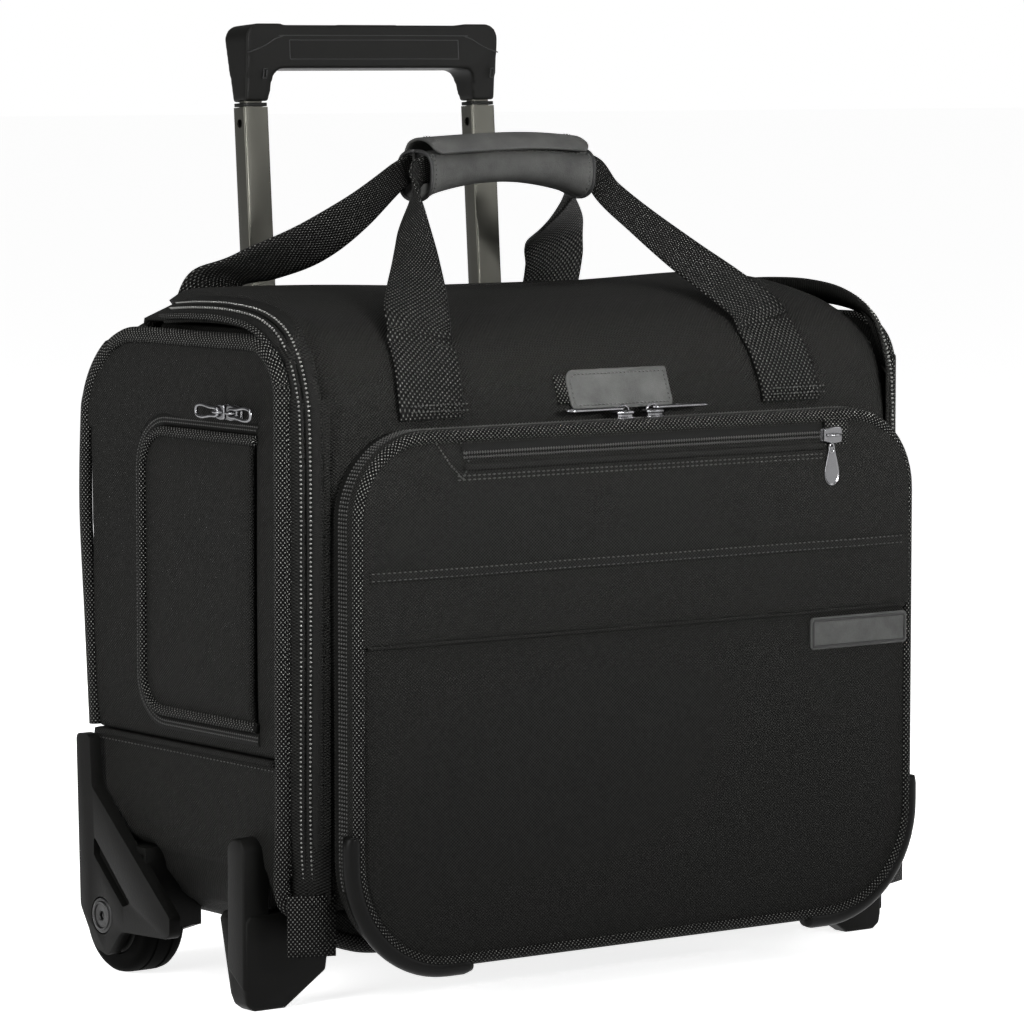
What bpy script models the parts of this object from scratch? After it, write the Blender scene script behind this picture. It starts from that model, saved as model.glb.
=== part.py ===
"""Soft-sided rolling flight case: a leaning-back tub with a zipped front-and-top lid, an organiser panel
on the lid, a side pocket at each end, two wheels, two front feet, a telescopic pull handle and a carry
handle of two webbing loops. Metres, +X to the viewer's right, +Y to the back, +Z up.
Every piece is drawn in the case frame, whose Y = 0 is the front of the feet and Z = 0 the ground."""

import math

import bmesh
import bpy
from mathutils import Vector

# Driving dimensions of the case frame
FEET_HALF_WIDTH = 0.2032
CASE_CENTRE_Y = 0.0711  # middle of the whole object's depth
GAP = 0.0004  # between pieces that touch
LEAN = math.radians(4.0)  # the back and the pull handle lean back

TUB_HALF_WIDTH = 0.180
SIDE_HALF_WIDTH = 0.193
TUB_FRONT_Y = -0.017
TUB_BOTTOM_Z = 0.028
TUB_TOP_Z = 0.332
TUB_BACK_Y = 0.1475  # at the ground, before the lean
TUB_WALL = 0.004
CORNER_RADIUS = 0.055
SILL_TOP_Z = 0.050
SIDE_SEAM_Z = 0.1235

LID_HALF_WIDTH = 0.1765
LID_FRONT_Y = -0.036
LID_WALL = 0.006
LID_SPLIT_Z = 0.283  # the front wall below this seam, the top panel above it
TUB_NOTCH_Y, TUB_NOTCH_Z = 0.008, 0.3165  # the tub's ends are cut away in front of and above this
LID_BACK_Y, LID_BACK_RADIUS = 0.148, 0.060  # the lid's top ends in two corners rounded in plan

PANEL_HALF_WIDTH = 0.1755
PANEL_LOW_Z, PANEL_HIGH_Z = 0.022, 0.283
PANEL_FRONT_Y = -0.0545
PANEL_WALL = 0.004
PANEL_TOP_RADIUS = 0.042

WHEEL_RADIUS = 0.030
WHEEL_Y = 0.133
WHEEL_INNER_X, WHEEL_OUTER_X = 0.1705, 0.1945
HOUSING_OUTER_X = 0.2025
AXLE_RADIUS = 0.004

TUBE_X = 0.0735
TROLLEY_Y = 0.1563  # the tubes' centre line at the ground
OUTER_TUBE = (0.0185, 0.0134)
MID_TUBE = (0.0155, 0.0104)
INNER_TUBE = (0.0108, 0.0066)
TUBE_WALL = 0.0011
OUTER_TUBE_LOW, OUTER_TUBE_HIGH = 0.036, 0.334
MID_TUBE_LOW, MID_TUBE_HIGH = 0.136, 0.4374
COLLAR_HIGH = 0.4396
INNER_TUBE_LOW = 0.150
GRIP_LOW, GRIP_BAR_LOW, GRIP_SPLIT, GRIP_HIGH = 0.4402, 0.4570, 0.4725, 0.4806
GRIP_HALF_WIDTH = 0.0812
GRIP_DEPTH = 0.0215
COVER_HALF_WIDTH = 0.0915

STRAP_WIDTH = 0.038
STRAP_THICK = 0.0018
STRAP_X, REAR_STRAP_X = 0.1135, 0.1112
WRAP_Y = 0.070
WRAP_LOW_Z, WRAP_HIGH_Z = 0.394, 0.418
WRAP_HALF_LENGTH = 0.052
WRAP_HALF_DEPTH = 0.0145

for old in list(bpy.data.objects):
    bpy.data.objects.remove(old, do_unlink=True)


def material(name, colour, roughness, metallic=0.0):
    made = bpy.data.materials.new(name)
    made.use_nodes = True
    shader = made.node_tree.nodes["Principled BSDF"]
    shader.inputs["Base Color"].default_value = (*colour, 1.0)
    shader.inputs["Roughness"].default_value = roughness
    shader.inputs["Metallic"].default_value = metallic
    return made


NYLON = material("ballistic_nylon", (0.012, 0.012, 0.012), 0.75)
WEBBING = material("webbing", (0.015, 0.015, 0.015), 0.70)
LEATHER = material("nubuck_leather", (0.035, 0.036, 0.038), 0.60)
PLASTIC = material("moulded_plastic", (0.030, 0.031, 0.032), 0.45)
GRIP_PLASTIC = material("grip_plastic", (0.016, 0.016, 0.017), 0.50)
RUBBER = material("moulded_rubber", (0.022, 0.022, 0.023), 0.55)
TREAD = material("wheel_tread", (0.012, 0.012, 0.012), 0.65)
ALUMINIUM = material("anodised_aluminium", (0.135, 0.128, 0.110), 0.38, 0.9)
STEEL = material("steel", (0.45, 0.45, 0.46), 0.30, 1.0)
ZIP_METAL = material("dark_chrome", (0.08, 0.08, 0.085), 0.22, 1.0)
BOARD = material("stiffener_board", (0.06, 0.06, 0.06), 0.60)

# The case frame and the leaning trolley frame inside it
case_frame = bpy.data.objects.new("case_frame", None)
case_frame.location = (0, -CASE_CENTRE_Y, 0)
bpy.context.scene.collection.objects.link(case_frame)
trolley_frame = bpy.data.objects.new("trolley_frame", None)
trolley_frame.location = (0, TROLLEY_Y, 0)
trolley_frame.rotation_euler = (-LEAN, 0, 0)
trolley_frame.parent = case_frame
bpy.context.scene.collection.objects.link(trolley_frame)


def back_y(z, inset=0.0):
    """The leaning back plane of the tub at height z."""
    return TUB_BACK_Y + z * math.tan(LEAN) - inset


def add_object(name, mesh, finish, parent=case_frame):
    made = bpy.data.objects.new(name, mesh)
    bpy.context.scene.collection.objects.link(made)
    made.parent = parent
    if finish:
        mesh.materials.append(finish)
    else:
        made.hide_render = True
        made.display_type = "WIRE"
    return made


def add_bmesh(name, work, finish, parent=case_frame):
    bmesh.ops.recalc_face_normals(work, faces=work.faces)
    mesh = bpy.data.meshes.new(name)
    work.to_mesh(mesh)
    work.free()
    return add_object(name, mesh, finish, parent)


def rounded(corners, steps=5):
    """An outline through (u, v, radius) corners, each turned as an arc of that radius."""
    points = []
    for i, (u, v, radius) in enumerate(corners):
        here = Vector((u, v))
        before = (Vector(corners[i - 1][:2]) - here).normalized()
        after = (Vector(corners[(i + 1) % len(corners)][:2]) - here).normalized()
        if radius <= 0:
            points.append(here)
            continue
        half = before.angle(after) / 2
        centre = here + (before + after).normalized() * radius / math.sin(half)
        start = here + before * radius / math.tan(half) - centre
        end = here + after * radius / math.tan(half) - centre
        for step in range(steps + 1):
            share = step / steps
            arm = start.slerp(end, share)
            points.append(centre + arm.normalized() * radius)
    return points


def mirrored_outline(right_side):
    """The right half of a symmetrical outline, top to bottom, closed with its mirror image."""
    return right_side + [Vector((-p[0], p[1])) for p in reversed(right_side)]


def prism(name, outline, finish, place, parent=case_frame):
    """A closed solid between place(u, v, 0) and place(u, v, 1) for an outline of (u, v)."""
    work = bmesh.new()
    near = [work.verts.new(place(u, v, 0)) for u, v in outline]
    far = [work.verts.new(place(u, v, 1)) for u, v in outline]
    work.faces.new(near)
    work.faces.new(list(reversed(far)))
    for i in range(len(outline)):
        j = (i + 1) % len(outline)
        work.faces.new((near[j], near[i], far[i], far[j]))
    return add_bmesh(name, work, finish, parent)


def along_x(low, high):
    return lambda u, v, t: (low + t * (high - low), u, v)


def along_y(low, high):
    return lambda u, v, t: (u, low + t * (high - low), v)


def along_z(low, high):
    return lambda u, v, t: (u, v, low + t * (high - low))


def rectangle(u0, u1, v0, v1, radius=0.0, steps=4):
    return rounded([(u0, v0, radius), (u1, v0, radius), (u1, v1, radius), (u0, v1, radius)], steps)


def block(name, low, high, finish, parent=case_frame, radius=0.0):
    outline = rectangle(low[0], high[0], low[1], high[1], radius, 3)
    return prism(name, outline, finish, along_z(low[2], high[2]), parent)


def combine(target, other, operation):
    """Cuts or adds another solid, which is then only a helper."""
    step = target.modifiers.new(other.name, "BOOLEAN")
    step.operation = operation
    step.object = other
    step.solver = "EXACT"
    other.hide_render = True
    other.display_type = "WIRE"
    return target


def turned(name, profile, centre, finish, steps=32, parent=case_frame):
    """A closed profile of (radius, x) turned about the X axis through centre."""
    work = bmesh.new()
    rings = []
    for radius, x in profile:
        if radius == 0:
            rings.append([work.verts.new((centre[0] + x, centre[1], centre[2]))])
            continue
        ring = []
        for i in range(steps):
            angle = 2 * math.pi * i / steps
            where = (centre[0] + x, centre[1] + radius * math.cos(angle), centre[2] + radius * math.sin(angle))
            ring.append(work.verts.new(where))
        rings.append(ring)
    hollow = profile[0][0] > 0
    for first, second in zip(rings, rings[1:] + (rings[:1] if hollow else [])):
        for i in range(steps):
            j = (i + 1) % steps
            corners = (first[i % len(first)], first[j % len(first)], second[j % len(second)], second[i % len(second)])
            work.faces.new(list(dict.fromkeys(corners)))
    made = add_bmesh(name, work, finish, parent)
    made.data.shade_smooth()
    made.data.set_sharp_from_angle(angle=math.radians(35))
    return made


def rod(name, points, radius, finish, sides=2, parent=case_frame):
    """A round bar through the points."""
    curve = bpy.data.curves.new(name, "CURVE")
    curve.dimensions = "3D"
    curve.bevel_depth = radius
    curve.bevel_resolution = sides
    curve.use_fill_caps = True
    spline = curve.splines.new("POLY")
    spline.points.add(len(points) - 1)
    for point, where in zip(spline.points, points):
        point.co = (*where, 1.0)
    made = bpy.data.objects.new(name, curve)
    bpy.context.scene.collection.objects.link(made)
    made.parent = parent
    curve.materials.append(finish)
    return made


def smooth_path(knots, per_span):
    """Points of a Catmull-Rom curve through the knots, each knot a tuple of numbers."""
    ends = [tuple(2 * a - b for a, b in zip(knots[0], knots[1]))] + list(knots)
    ends.append(tuple(2 * a - b for a, b in zip(knots[-1], knots[-2])))
    path = []
    for k in range(1, len(ends) - 2):
        for step in range(per_span):
            t = step / per_span
            path.append(tuple(
                0.5 * (2 * p1 + (p2 - p0) * t + (2 * p0 - 5 * p1 + 4 * p2 - p3) * t**2
                       + (3 * p1 - p0 - 3 * p2 + p3) * t**3)
                for p0, p1, p2, p3 in zip(ends[k - 1], ends[k], ends[k + 1], ends[k + 2])
            ))
    path.append(tuple(knots[-1]))
    return path


def ribbon(name, knots, thickness, finish, per_span=5):
    """A strap through knots of (x, y, z, width, twist), the twist turning its width from X (0) to upright (1)."""
    path = smooth_path(knots, per_span)
    work = bmesh.new()
    sections = []
    for i, (x, y, z, width, twist) in enumerate(path):
        tangent = Vector(path[min(i + 1, len(path) - 1)][:3]) - Vector(path[max(i - 1, 0)][:3])
        turn = twist * math.pi / 2
        across = Vector((math.cos(turn), 0, math.sin(turn)))
        across = (across - tangent * across.dot(tangent) / tangent.length_squared).normalized()
        normal = tangent.cross(across).normalized()
        centre = Vector((x, y, z))
        corners = [(-1, -1), (1, -1), (1, 1), (-1, 1)]
        sections.append([
            work.verts.new(centre + across * width / 2 * a + normal * thickness / 2 * b) for a, b in corners
        ])
    work.faces.new(sections[0])
    work.faces.new(list(reversed(sections[-1])))
    for first, second in zip(sections, sections[1:]):
        for i in range(4):
            j = (i + 1) % 4
            work.faces.new((first[j], first[i], second[i], second[j]))
    return add_bmesh(name, work, finish)


def tub():
    """The fixed fabric shell: floor, back, ends and a low front sill, with a well cut for each wheel."""
    right = [Vector((TUB_HALF_WIDTH, TUB_TOP_Z)), Vector((TUB_HALF_WIDTH, SIDE_SEAM_Z)),
             Vector((SIDE_HALF_WIDTH, SIDE_SEAM_Z))]
    centre = Vector((SIDE_HALF_WIDTH - CORNER_RADIUS, TUB_BOTTOM_Z + CORNER_RADIUS))
    for step in range(7):
        angle = math.pi / 2 * step / 6
        right.append(centre + CORNER_RADIUS * Vector((math.cos(angle), -math.sin(angle))))
    outer = mirrored_outline(right)
    shell = prism("body_tub", outer, NYLON, lambda u, v, t: (u, TUB_FRONT_Y if t == 0 else back_y(v), v))

    inside = [Vector((TUB_HALF_WIDTH - TUB_WALL, TUB_TOP_Z + 0.02))]
    inner_radius = CORNER_RADIUS - TUB_WALL
    centre = Vector((TUB_HALF_WIDTH - TUB_WALL - inner_radius, TUB_BOTTOM_Z + TUB_WALL + inner_radius))
    for step in range(7):
        angle = math.pi / 2 * step / 6
        inside.append(centre + inner_radius * Vector((math.cos(angle), -math.sin(angle))))
    hollow = mirrored_outline(inside)
    room = prism("cut_compartment", hollow, None,
                 lambda u, v, t: (u, TUB_FRONT_Y + TUB_WALL if t == 0 else back_y(v, TUB_WALL), v))
    combine(shell, room, "DIFFERENCE")
    mouth = block("cut_mouth", (TUB_WALL - TUB_HALF_WIDTH, TUB_FRONT_Y - 0.01, SILL_TOP_Z),
                  (TUB_HALF_WIDTH - TUB_WALL, TUB_FRONT_Y + 0.01, TUB_TOP_Z + 0.02), None)
    combine(shell, mouth, "DIFFERENCE")
    notch = block("cut_notch", (-TUB_HALF_WIDTH - 0.01, TUB_FRONT_Y - 0.01, TUB_NOTCH_Z),
                  (TUB_HALF_WIDTH + 0.01, TUB_NOTCH_Y, TUB_TOP_Z + 0.02), None)
    combine(shell, notch, "DIFFERENCE")
    combine(shell, prism("tub_hood", hood_outline(), None, along_z(TUB_TOP_Z - 0.0040, TUB_TOP_Z)), "UNION")
    for side in (-1, 1):
        near, far = sorted((side * (WHEEL_INNER_X - 0.0065), side * 0.21))
        well = block("cut_wheel_well" + ("_l" if side < 0 else "_r"), (near, WHEEL_Y - 0.0345, 0.0),
                     (far, 0.2, 2 * WHEEL_RADIUS + 0.0085), None)
        combine(shell, well, "DIFFERENCE")


def hood_outline():
    """The fixed strip behind the lid: straight along the back wall, widening into both rear corners."""
    reach, back = TUB_HALF_WIDTH - TUB_WALL / 2, back_y(TUB_TOP_Z, TUB_WALL / 2)
    radius, arc_y = LID_BACK_RADIUS + 0.006, LID_BACK_Y - LID_BACK_RADIUS
    corner = []
    for step in range(9):
        angle = math.radians(10 + 10 * step)
        corner.append((radius - reach - radius * math.cos(angle), arc_y + radius * math.sin(angle)))
    outline = [(-reach, corner[0][1])] + corner + [(-x, y) for x, y in reversed(corner)]
    return [Vector(p) for p in outline + [(reach, corner[0][1]), (reach, back), (-reach, back)]]


def boards():
    """Stiffeners that hold the soft shell square: one on the floor and one on the back wall."""
    floor_z = TUB_BOTTOM_Z + TUB_WALL + GAP
    prism("base_board", rectangle(-0.122, 0.122, TUB_FRONT_Y + 0.008, back_y(floor_z, 0.012), 0.012), BOARD,
          along_z(floor_z, floor_z + 0.0025))
    prism("back_board", rectangle(-0.160, 0.160, 0.078, 0.325, 0.012), BOARD,
          lambda u, v, t: (u, back_y(v, TUB_WALL + GAP + t * 0.0025), v))


def side_pocket(side, letter):
    """A zipped pocket box on one end of the tub, with a window that its flap closes."""
    inner, outer = side * (TUB_HALF_WIDTH + GAP), side * SIDE_HALF_WIDTH
    low, high = SIDE_SEAM_Z + GAP, TUB_TOP_Z - 0.002
    outline = rounded([(TUB_FRONT_Y, low, 0), (back_y(low, 0.002), low, 0), (back_y(high, 0.002), high, 0.040),
                       (TUB_FRONT_Y, high, 0.030)], 6)
    box = prism(f"side_pocket_{letter}", outline, NYLON, along_x(inner, outer))
    window = rounded([(0.0055, 0.1365, 0.004), (0.1025, 0.1365, 0.018), (0.1065, 0.2805, 0.022),
                      (0.0055, 0.2805, 0.004)], 5)
    combine(box, prism(f"cut_window_{letter}", window, None, along_x(inner - side * 0.01, outer + side * 0.01)),
            "DIFFERENCE")
    cover = rounded([(0.0065, 0.1375, 0.003), (0.1015, 0.1375, 0.017), (0.1055, 0.2795, 0.021),
                     (0.0065, 0.2795, 0.003)], 5)
    prism(f"side_flap_{letter}", cover, NYLON, along_x(side * 0.1905, side * 0.1955))
    for place, y, pull_y in (("rear", 0.030, 0.050), ("front", 0.019, 0.000)):
        low_y, high_y = y - 0.0045, y + 0.0045
        body = prism(f"side_slider_{letter}_{place}", rectangle(low_y, high_y, 0.2870, 0.2950, 0.002, 2), ZIP_METAL,
                     along_x(outer + side * GAP, outer + side * 0.0035))
        pull_low, pull_high = sorted((y, pull_y))
        pull = prism(f"pull_{letter}_{place}", rectangle(pull_low, pull_high, 0.2885, 0.2940, 0.0025, 3), None,
                     along_x(outer + side * 0.0026, outer + side * 0.0048))
        combine(body, pull, "UNION")


def lid():
    """The front wall and the top panel that the main zip frees; they swing forward together about the foot
    of the front wall, which is a tray that holds the lid's own pocket."""
    wall_back = TUB_FRONT_Y - 0.0012
    wall = prism("lid_front", rectangle(LID_FRONT_Y, wall_back, SILL_TOP_Z + 0.002, LID_SPLIT_Z), NYLON,
                 along_x(-LID_HALF_WIDTH, LID_HALF_WIDTH))
    hollow = rectangle(LID_FRONT_Y + LID_WALL, TUB_FRONT_Y + 0.007, SILL_TOP_Z + 0.012, LID_SPLIT_Z - LID_WALL)
    combine(wall, prism("cut_lid_pocket", hollow, None,
                        along_x(LID_WALL - LID_HALF_WIDTH, LID_HALF_WIDTH - LID_WALL)), "DIFFERENCE")
    outer = [(LID_FRONT_Y, LID_SPLIT_Z + GAP), (-0.0295, 0.300), (-0.0205, 0.3165), (-0.006, 0.3310),
             (0.018, 0.3410), (0.055, 0.3465), (0.110, 0.3470), (0.162, 0.3425)]
    inner = [(0.162, 0.3375), (0.110, 0.3395), (0.055, 0.3385), (0.018, 0.3350), (TUB_NOTCH_Y + GAP, 0.3328),
             (-0.006, 0.3268), (wall_back, TUB_NOTCH_Z + 0.0007), (wall_back, LID_SPLIT_Z + GAP)]
    top = prism("lid_top", [Vector(p) for p in outer + inner], NYLON, along_x(-LID_HALF_WIDTH, LID_HALF_WIDTH))
    plan = rounded([(-LID_HALF_WIDTH - 0.001, LID_FRONT_Y - 0.01, 0), (LID_HALF_WIDTH + 0.001, LID_FRONT_Y - 0.01, 0),
                    (LID_HALF_WIDTH + 0.001, LID_BACK_Y, LID_BACK_RADIUS),
                    (-LID_HALF_WIDTH - 0.001, LID_BACK_Y, LID_BACK_RADIUS)], 8)
    combine(top, prism("cut_lid_plan", plan, None, along_z(0.2, 0.4)), "INTERSECT")
    patch = rounded([(-0.032, 0.2885, 0.003), (0.032, 0.2885, 0.003), (0.032, 0.3080, 0.001),
                     (-0.032, 0.3080, 0.006)], 4)
    prism("leather_patch", patch, LEATHER,
          lambda u, v, t: (u, -0.0297 - 2 * GAP - 0.0015 * t + (v - 0.300) * 0.39, v))


def front_panel():
    """The organiser's cover: a shallow bulged tray hinged along its bottom edge."""
    corners = [(-PANEL_HALF_WIDTH, PANEL_LOW_Z, CORNER_RADIUS), (PANEL_HALF_WIDTH, PANEL_LOW_Z, CORNER_RADIUS),
               (PANEL_HALF_WIDTH, PANEL_HIGH_Z, PANEL_TOP_RADIUS), (-PANEL_HALF_WIDTH, PANEL_HIGH_Z, PANEL_TOP_RADIUS)]
    back = LID_FRONT_Y - GAP
    tray = prism("front_panel", rounded(corners, 7), NYLON, along_y(PANEL_FRONT_Y, back))
    inset = PANEL_WALL
    inner = [(u - math.copysign(inset, u), v + inset * (1 if v < 0.1 else -1), r - inset) for u, v, r in corners]
    combine(tray, prism("cut_organiser", rounded(inner, 6), None, along_y(PANEL_FRONT_Y + PANEL_WALL, back + 0.01)),
            "DIFFERENCE")
    badge_z = 0.1612
    prism("leather_badge", rectangle(0.1055, 0.1700, badge_z, badge_z + 0.0165, 0.002, 3), LEATHER,
          along_y(PANEL_FRONT_Y - 0.0022, PANEL_FRONT_Y - GAP))


def corner_guard(side, letter):
    """A moulded rubber tube round the panel's edge at each bottom corner."""
    tube_radius = 0.0036
    tube_y = -0.0498
    arc_x, arc_z = PANEL_HALF_WIDTH - CORNER_RADIUS, PANEL_LOW_Z + CORNER_RADIUS
    reach = CORNER_RADIUS + tube_radius + GAP
    points = [(side * (arc_x + reach), tube_y, 0.0905)]
    for step in range(13):
        angle = math.pi / 2 * step / 12
        points.append((side * (arc_x + reach * math.cos(angle)), tube_y, arc_z - reach * math.sin(angle)))
    points.append((side * 0.108, tube_y, arc_z - reach))
    rod(f"corner_guard_{letter}", points, tube_radius, RUBBER)


def panel_zips():
    """The pocket slider and its hanging puller, and the two organiser sliders that meet at the top centre."""
    face = PANEL_FRONT_Y
    prism("pocket_slider", rectangle(0.1120, 0.1240, 0.2665, 0.2755, 0.002, 2), ZIP_METAL,
          along_y(face - 0.0040, face - GAP))
    puller = rounded([(0.1160, 0.2648, 0.001), (0.1200, 0.2648, 0.001), (0.1222, 0.2500, 0.003),
                      (0.1205, 0.2455, 0.002), (0.1155, 0.2455, 0.002), (0.1138, 0.2500, 0.003)], 3)
    prism("pocket_puller", puller, ZIP_METAL, along_y(face - 0.0032, face - 0.0012))
    for letter, side, x in (("l", -1, -0.0065), ("r", 1, 0.0125)):
        low_x, high_x = x - 0.0055, x + 0.0055
        body = block(f"organiser_slider_{letter}", (low_x, -0.0475, PANEL_HIGH_Z + GAP),
                     (high_x, -0.0395, PANEL_HIGH_Z + 0.0045), ZIP_METAL)
        pull_x = sorted((x + side * 0.003, x + side * 0.0345))
        pull = block(f"pull_{letter}", (pull_x[0], -0.0460, PANEL_HIGH_Z + 0.0030),
                     (pull_x[1], -0.0405, PANEL_HIGH_Z + 0.0052), None)
        combine(body, pull, "UNION")
        start, end = sorted((side * 0.004, side * 0.016))
        block(f"main_slider_{letter}", (start, LID_BACK_Y + 0.0012, TUB_TOP_Z + GAP),
              (end, LID_BACK_Y + 0.0062, TUB_TOP_Z + 0.0075), ZIP_METAL)


def wheel(side, letter):
    """A tyre on a hub that turns on a plain bush about a bolted axle, held by a moulded housing."""
    middle = side * (WHEEL_INNER_X + WHEEL_OUTER_X) / 2
    half = (WHEEL_OUTER_X - WHEEL_INNER_X) / 2
    centre = (middle, WHEEL_Y, WHEEL_RADIUS)
    rim, crown = 0.0205, WHEEL_RADIUS
    turned(f"wheel_tyre_{letter}", [(rim, -half), (crown - 0.003, -half), (crown, 0.004 - half), (crown, half - 0.004),
                                    (crown - 0.003, half), (rim, half)], centre, TREAD, 40)
    bush = 0.0068
    turned(f"wheel_hub_{letter}", [(bush + 0.0001, -half + 0.0005), (rim - GAP, -half + 0.0005),
                                   (rim - GAP, half - 0.0005), (bush + 0.0001, half - 0.0005)], centre, PLASTIC, 32)
    turned(f"wheel_bush_{letter}", [(AXLE_RADIUS + 0.0001, -half + 0.001), (bush - 0.0003, -half + 0.001),
                                    (bush - 0.0003, half - 0.001), (AXLE_RADIUS + 0.0001, half - 0.001)],
           centre, STEEL, 24)
    head = side * (HOUSING_OUTER_X - middle * side)
    stem = side * (WHEEL_INNER_X - 0.0048 - middle * side)
    neck = head - side * 0.0025
    bolt = turned(f"axle_bolt_{letter}", [(0, stem), (AXLE_RADIUS, stem), (AXLE_RADIUS, neck), (0.0092, neck),
                                          (0.0092, head), (0, head)], centre, STEEL, 24)
    socket = turned(f"cut_socket_{letter}", [(0, neck + side * 0.0004), (0.0024, neck + side * 0.0004),
                                             (0.0024, head + side * 0.002), (0, head + side * 0.002)],
                    centre, None, 6)
    combine(bolt, socket, "DIFFERENCE")

    plate_inner = WHEEL_OUTER_X + 0.0012
    lean = math.tan(LEAN)
    outline = rounded([(0.1475 + 0.121 * lean, 0.1210, 0.003), (0.1438, 0.1210, 0.003),
                       (0.1415, 0.0950, 0.004), (0.0700, 0.0370, 0.004), (0.0700, 0.0262, 0.004),
                       (0.1150, 0.0240, 0.008), (0.1270, 0.0100, 0.004), (0.1390, 0.0130, 0.010),
                       (0.1530, 0.0330, 0.008)], 4)
    plate = prism(f"wheel_housing_{letter}", outline, PLASTIC, along_x(side * plate_inner, side * HOUSING_OUTER_X))
    roof = rounded([(0.0990, 0.0265, 0), (0.0990, 0.0680, 0), (0.1500, 0.0680, 0), (0.1500, 0.0645, 0),
                    (0.1008, 0.0645, 0), (0.1008, 0.0265, 0)])
    inner_x = WHEEL_INNER_X - 0.006
    combine(plate, prism(f"housing_roof_{letter}", roof, None, along_x(side * inner_x, side * (plate_inner + 0.002))),
            "UNION")
    cheek = rounded([(0.0992, 0.0266, 0), (0.0992, 0.0678, 0), (0.1498, 0.0678, 0), (0.1498, 0.0200, 0.006),
                     (0.1200, 0.0200, 0.006)], 3)
    combine(plate, prism(f"housing_cheek_{letter}", cheek, None, along_x(side * inner_x, side * (inner_x + 0.0045))),
            "UNION")
    slot = rounded([(0.1400, 0.0700, 0.001), (0.1060, 0.0395, 0.001), (0.1130, 0.0370, 0.001),
                    (0.1400, 0.0600, 0.001)], 2)
    combine(plate, prism(f"cut_slot_{letter}", slot, None,
                         along_x(side * (plate_inner + 0.003), side * (HOUSING_OUTER_X + 0.01))), "DIFFERENCE")
    bore = turned(f"cut_bore_{letter}", [(0, stem - side * 0.01), (AXLE_RADIUS + 0.0002, stem - side * 0.01),
                                         (AXLE_RADIUS + 0.0002, neck - side * 0.0003), (0.0096, neck - side * 0.0003),
                                         (0.0096, head + side * 0.01), (0, head + side * 0.01)], centre, None, 24)
    combine(plate, bore, "DIFFERENCE")


def front_foot(side, letter):
    """A moulded boot that carries the front corner, with an upright rib on its outer face."""
    arc_centre = Vector((SIDE_HALF_WIDTH - CORNER_RADIUS, TUB_BOTTOM_Z + CORNER_RADIUS))
    reach = CORNER_RADIUS + GAP
    outline = [Vector((0.1790, 0.0)), Vector((0.2000, 0.0)), Vector((FEET_HALF_WIDTH, 0.003)),
               Vector((FEET_HALF_WIDTH, 0.080)), Vector((0.2015, 0.0845)), Vector((SIDE_HALF_WIDTH + GAP, 0.0850))]
    for step in range(9):
        angle = math.radians(5) + math.radians(68) * step / 8
        outline.append(arc_centre + reach * Vector((math.cos(angle), -math.sin(angle))))
    outline.append(Vector((0.1560, 0.0165)))
    depth_low = 0.0115

    def place(u, v, t):
        widening = min(1.0, v / 0.034)
        return (side * u, t * (depth_low + 0.0125 * widening), v)

    prism(f"front_foot_{letter}", outline, PLASTIC, place)


def hollow_tube(name, size, low, high, x, finish):
    """A rectangular tube of the trolley, drawn upright in the trolley frame."""
    half_x, half_y = size[0] / 2, size[1] / 2
    tube = prism(name, rectangle(x - half_x, x + half_x, -half_y, half_y, 0.002, 2), finish, along_z(low, high),
                 trolley_frame)
    bore = prism("cut_" + name, rectangle(x - half_x + TUBE_WALL, x + half_x - TUBE_WALL, TUBE_WALL - half_y,
                                          half_y - TUBE_WALL), None, along_z(low - 0.01, high + 0.01), trolley_frame)
    return combine(tube, bore, "DIFFERENCE")


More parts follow.
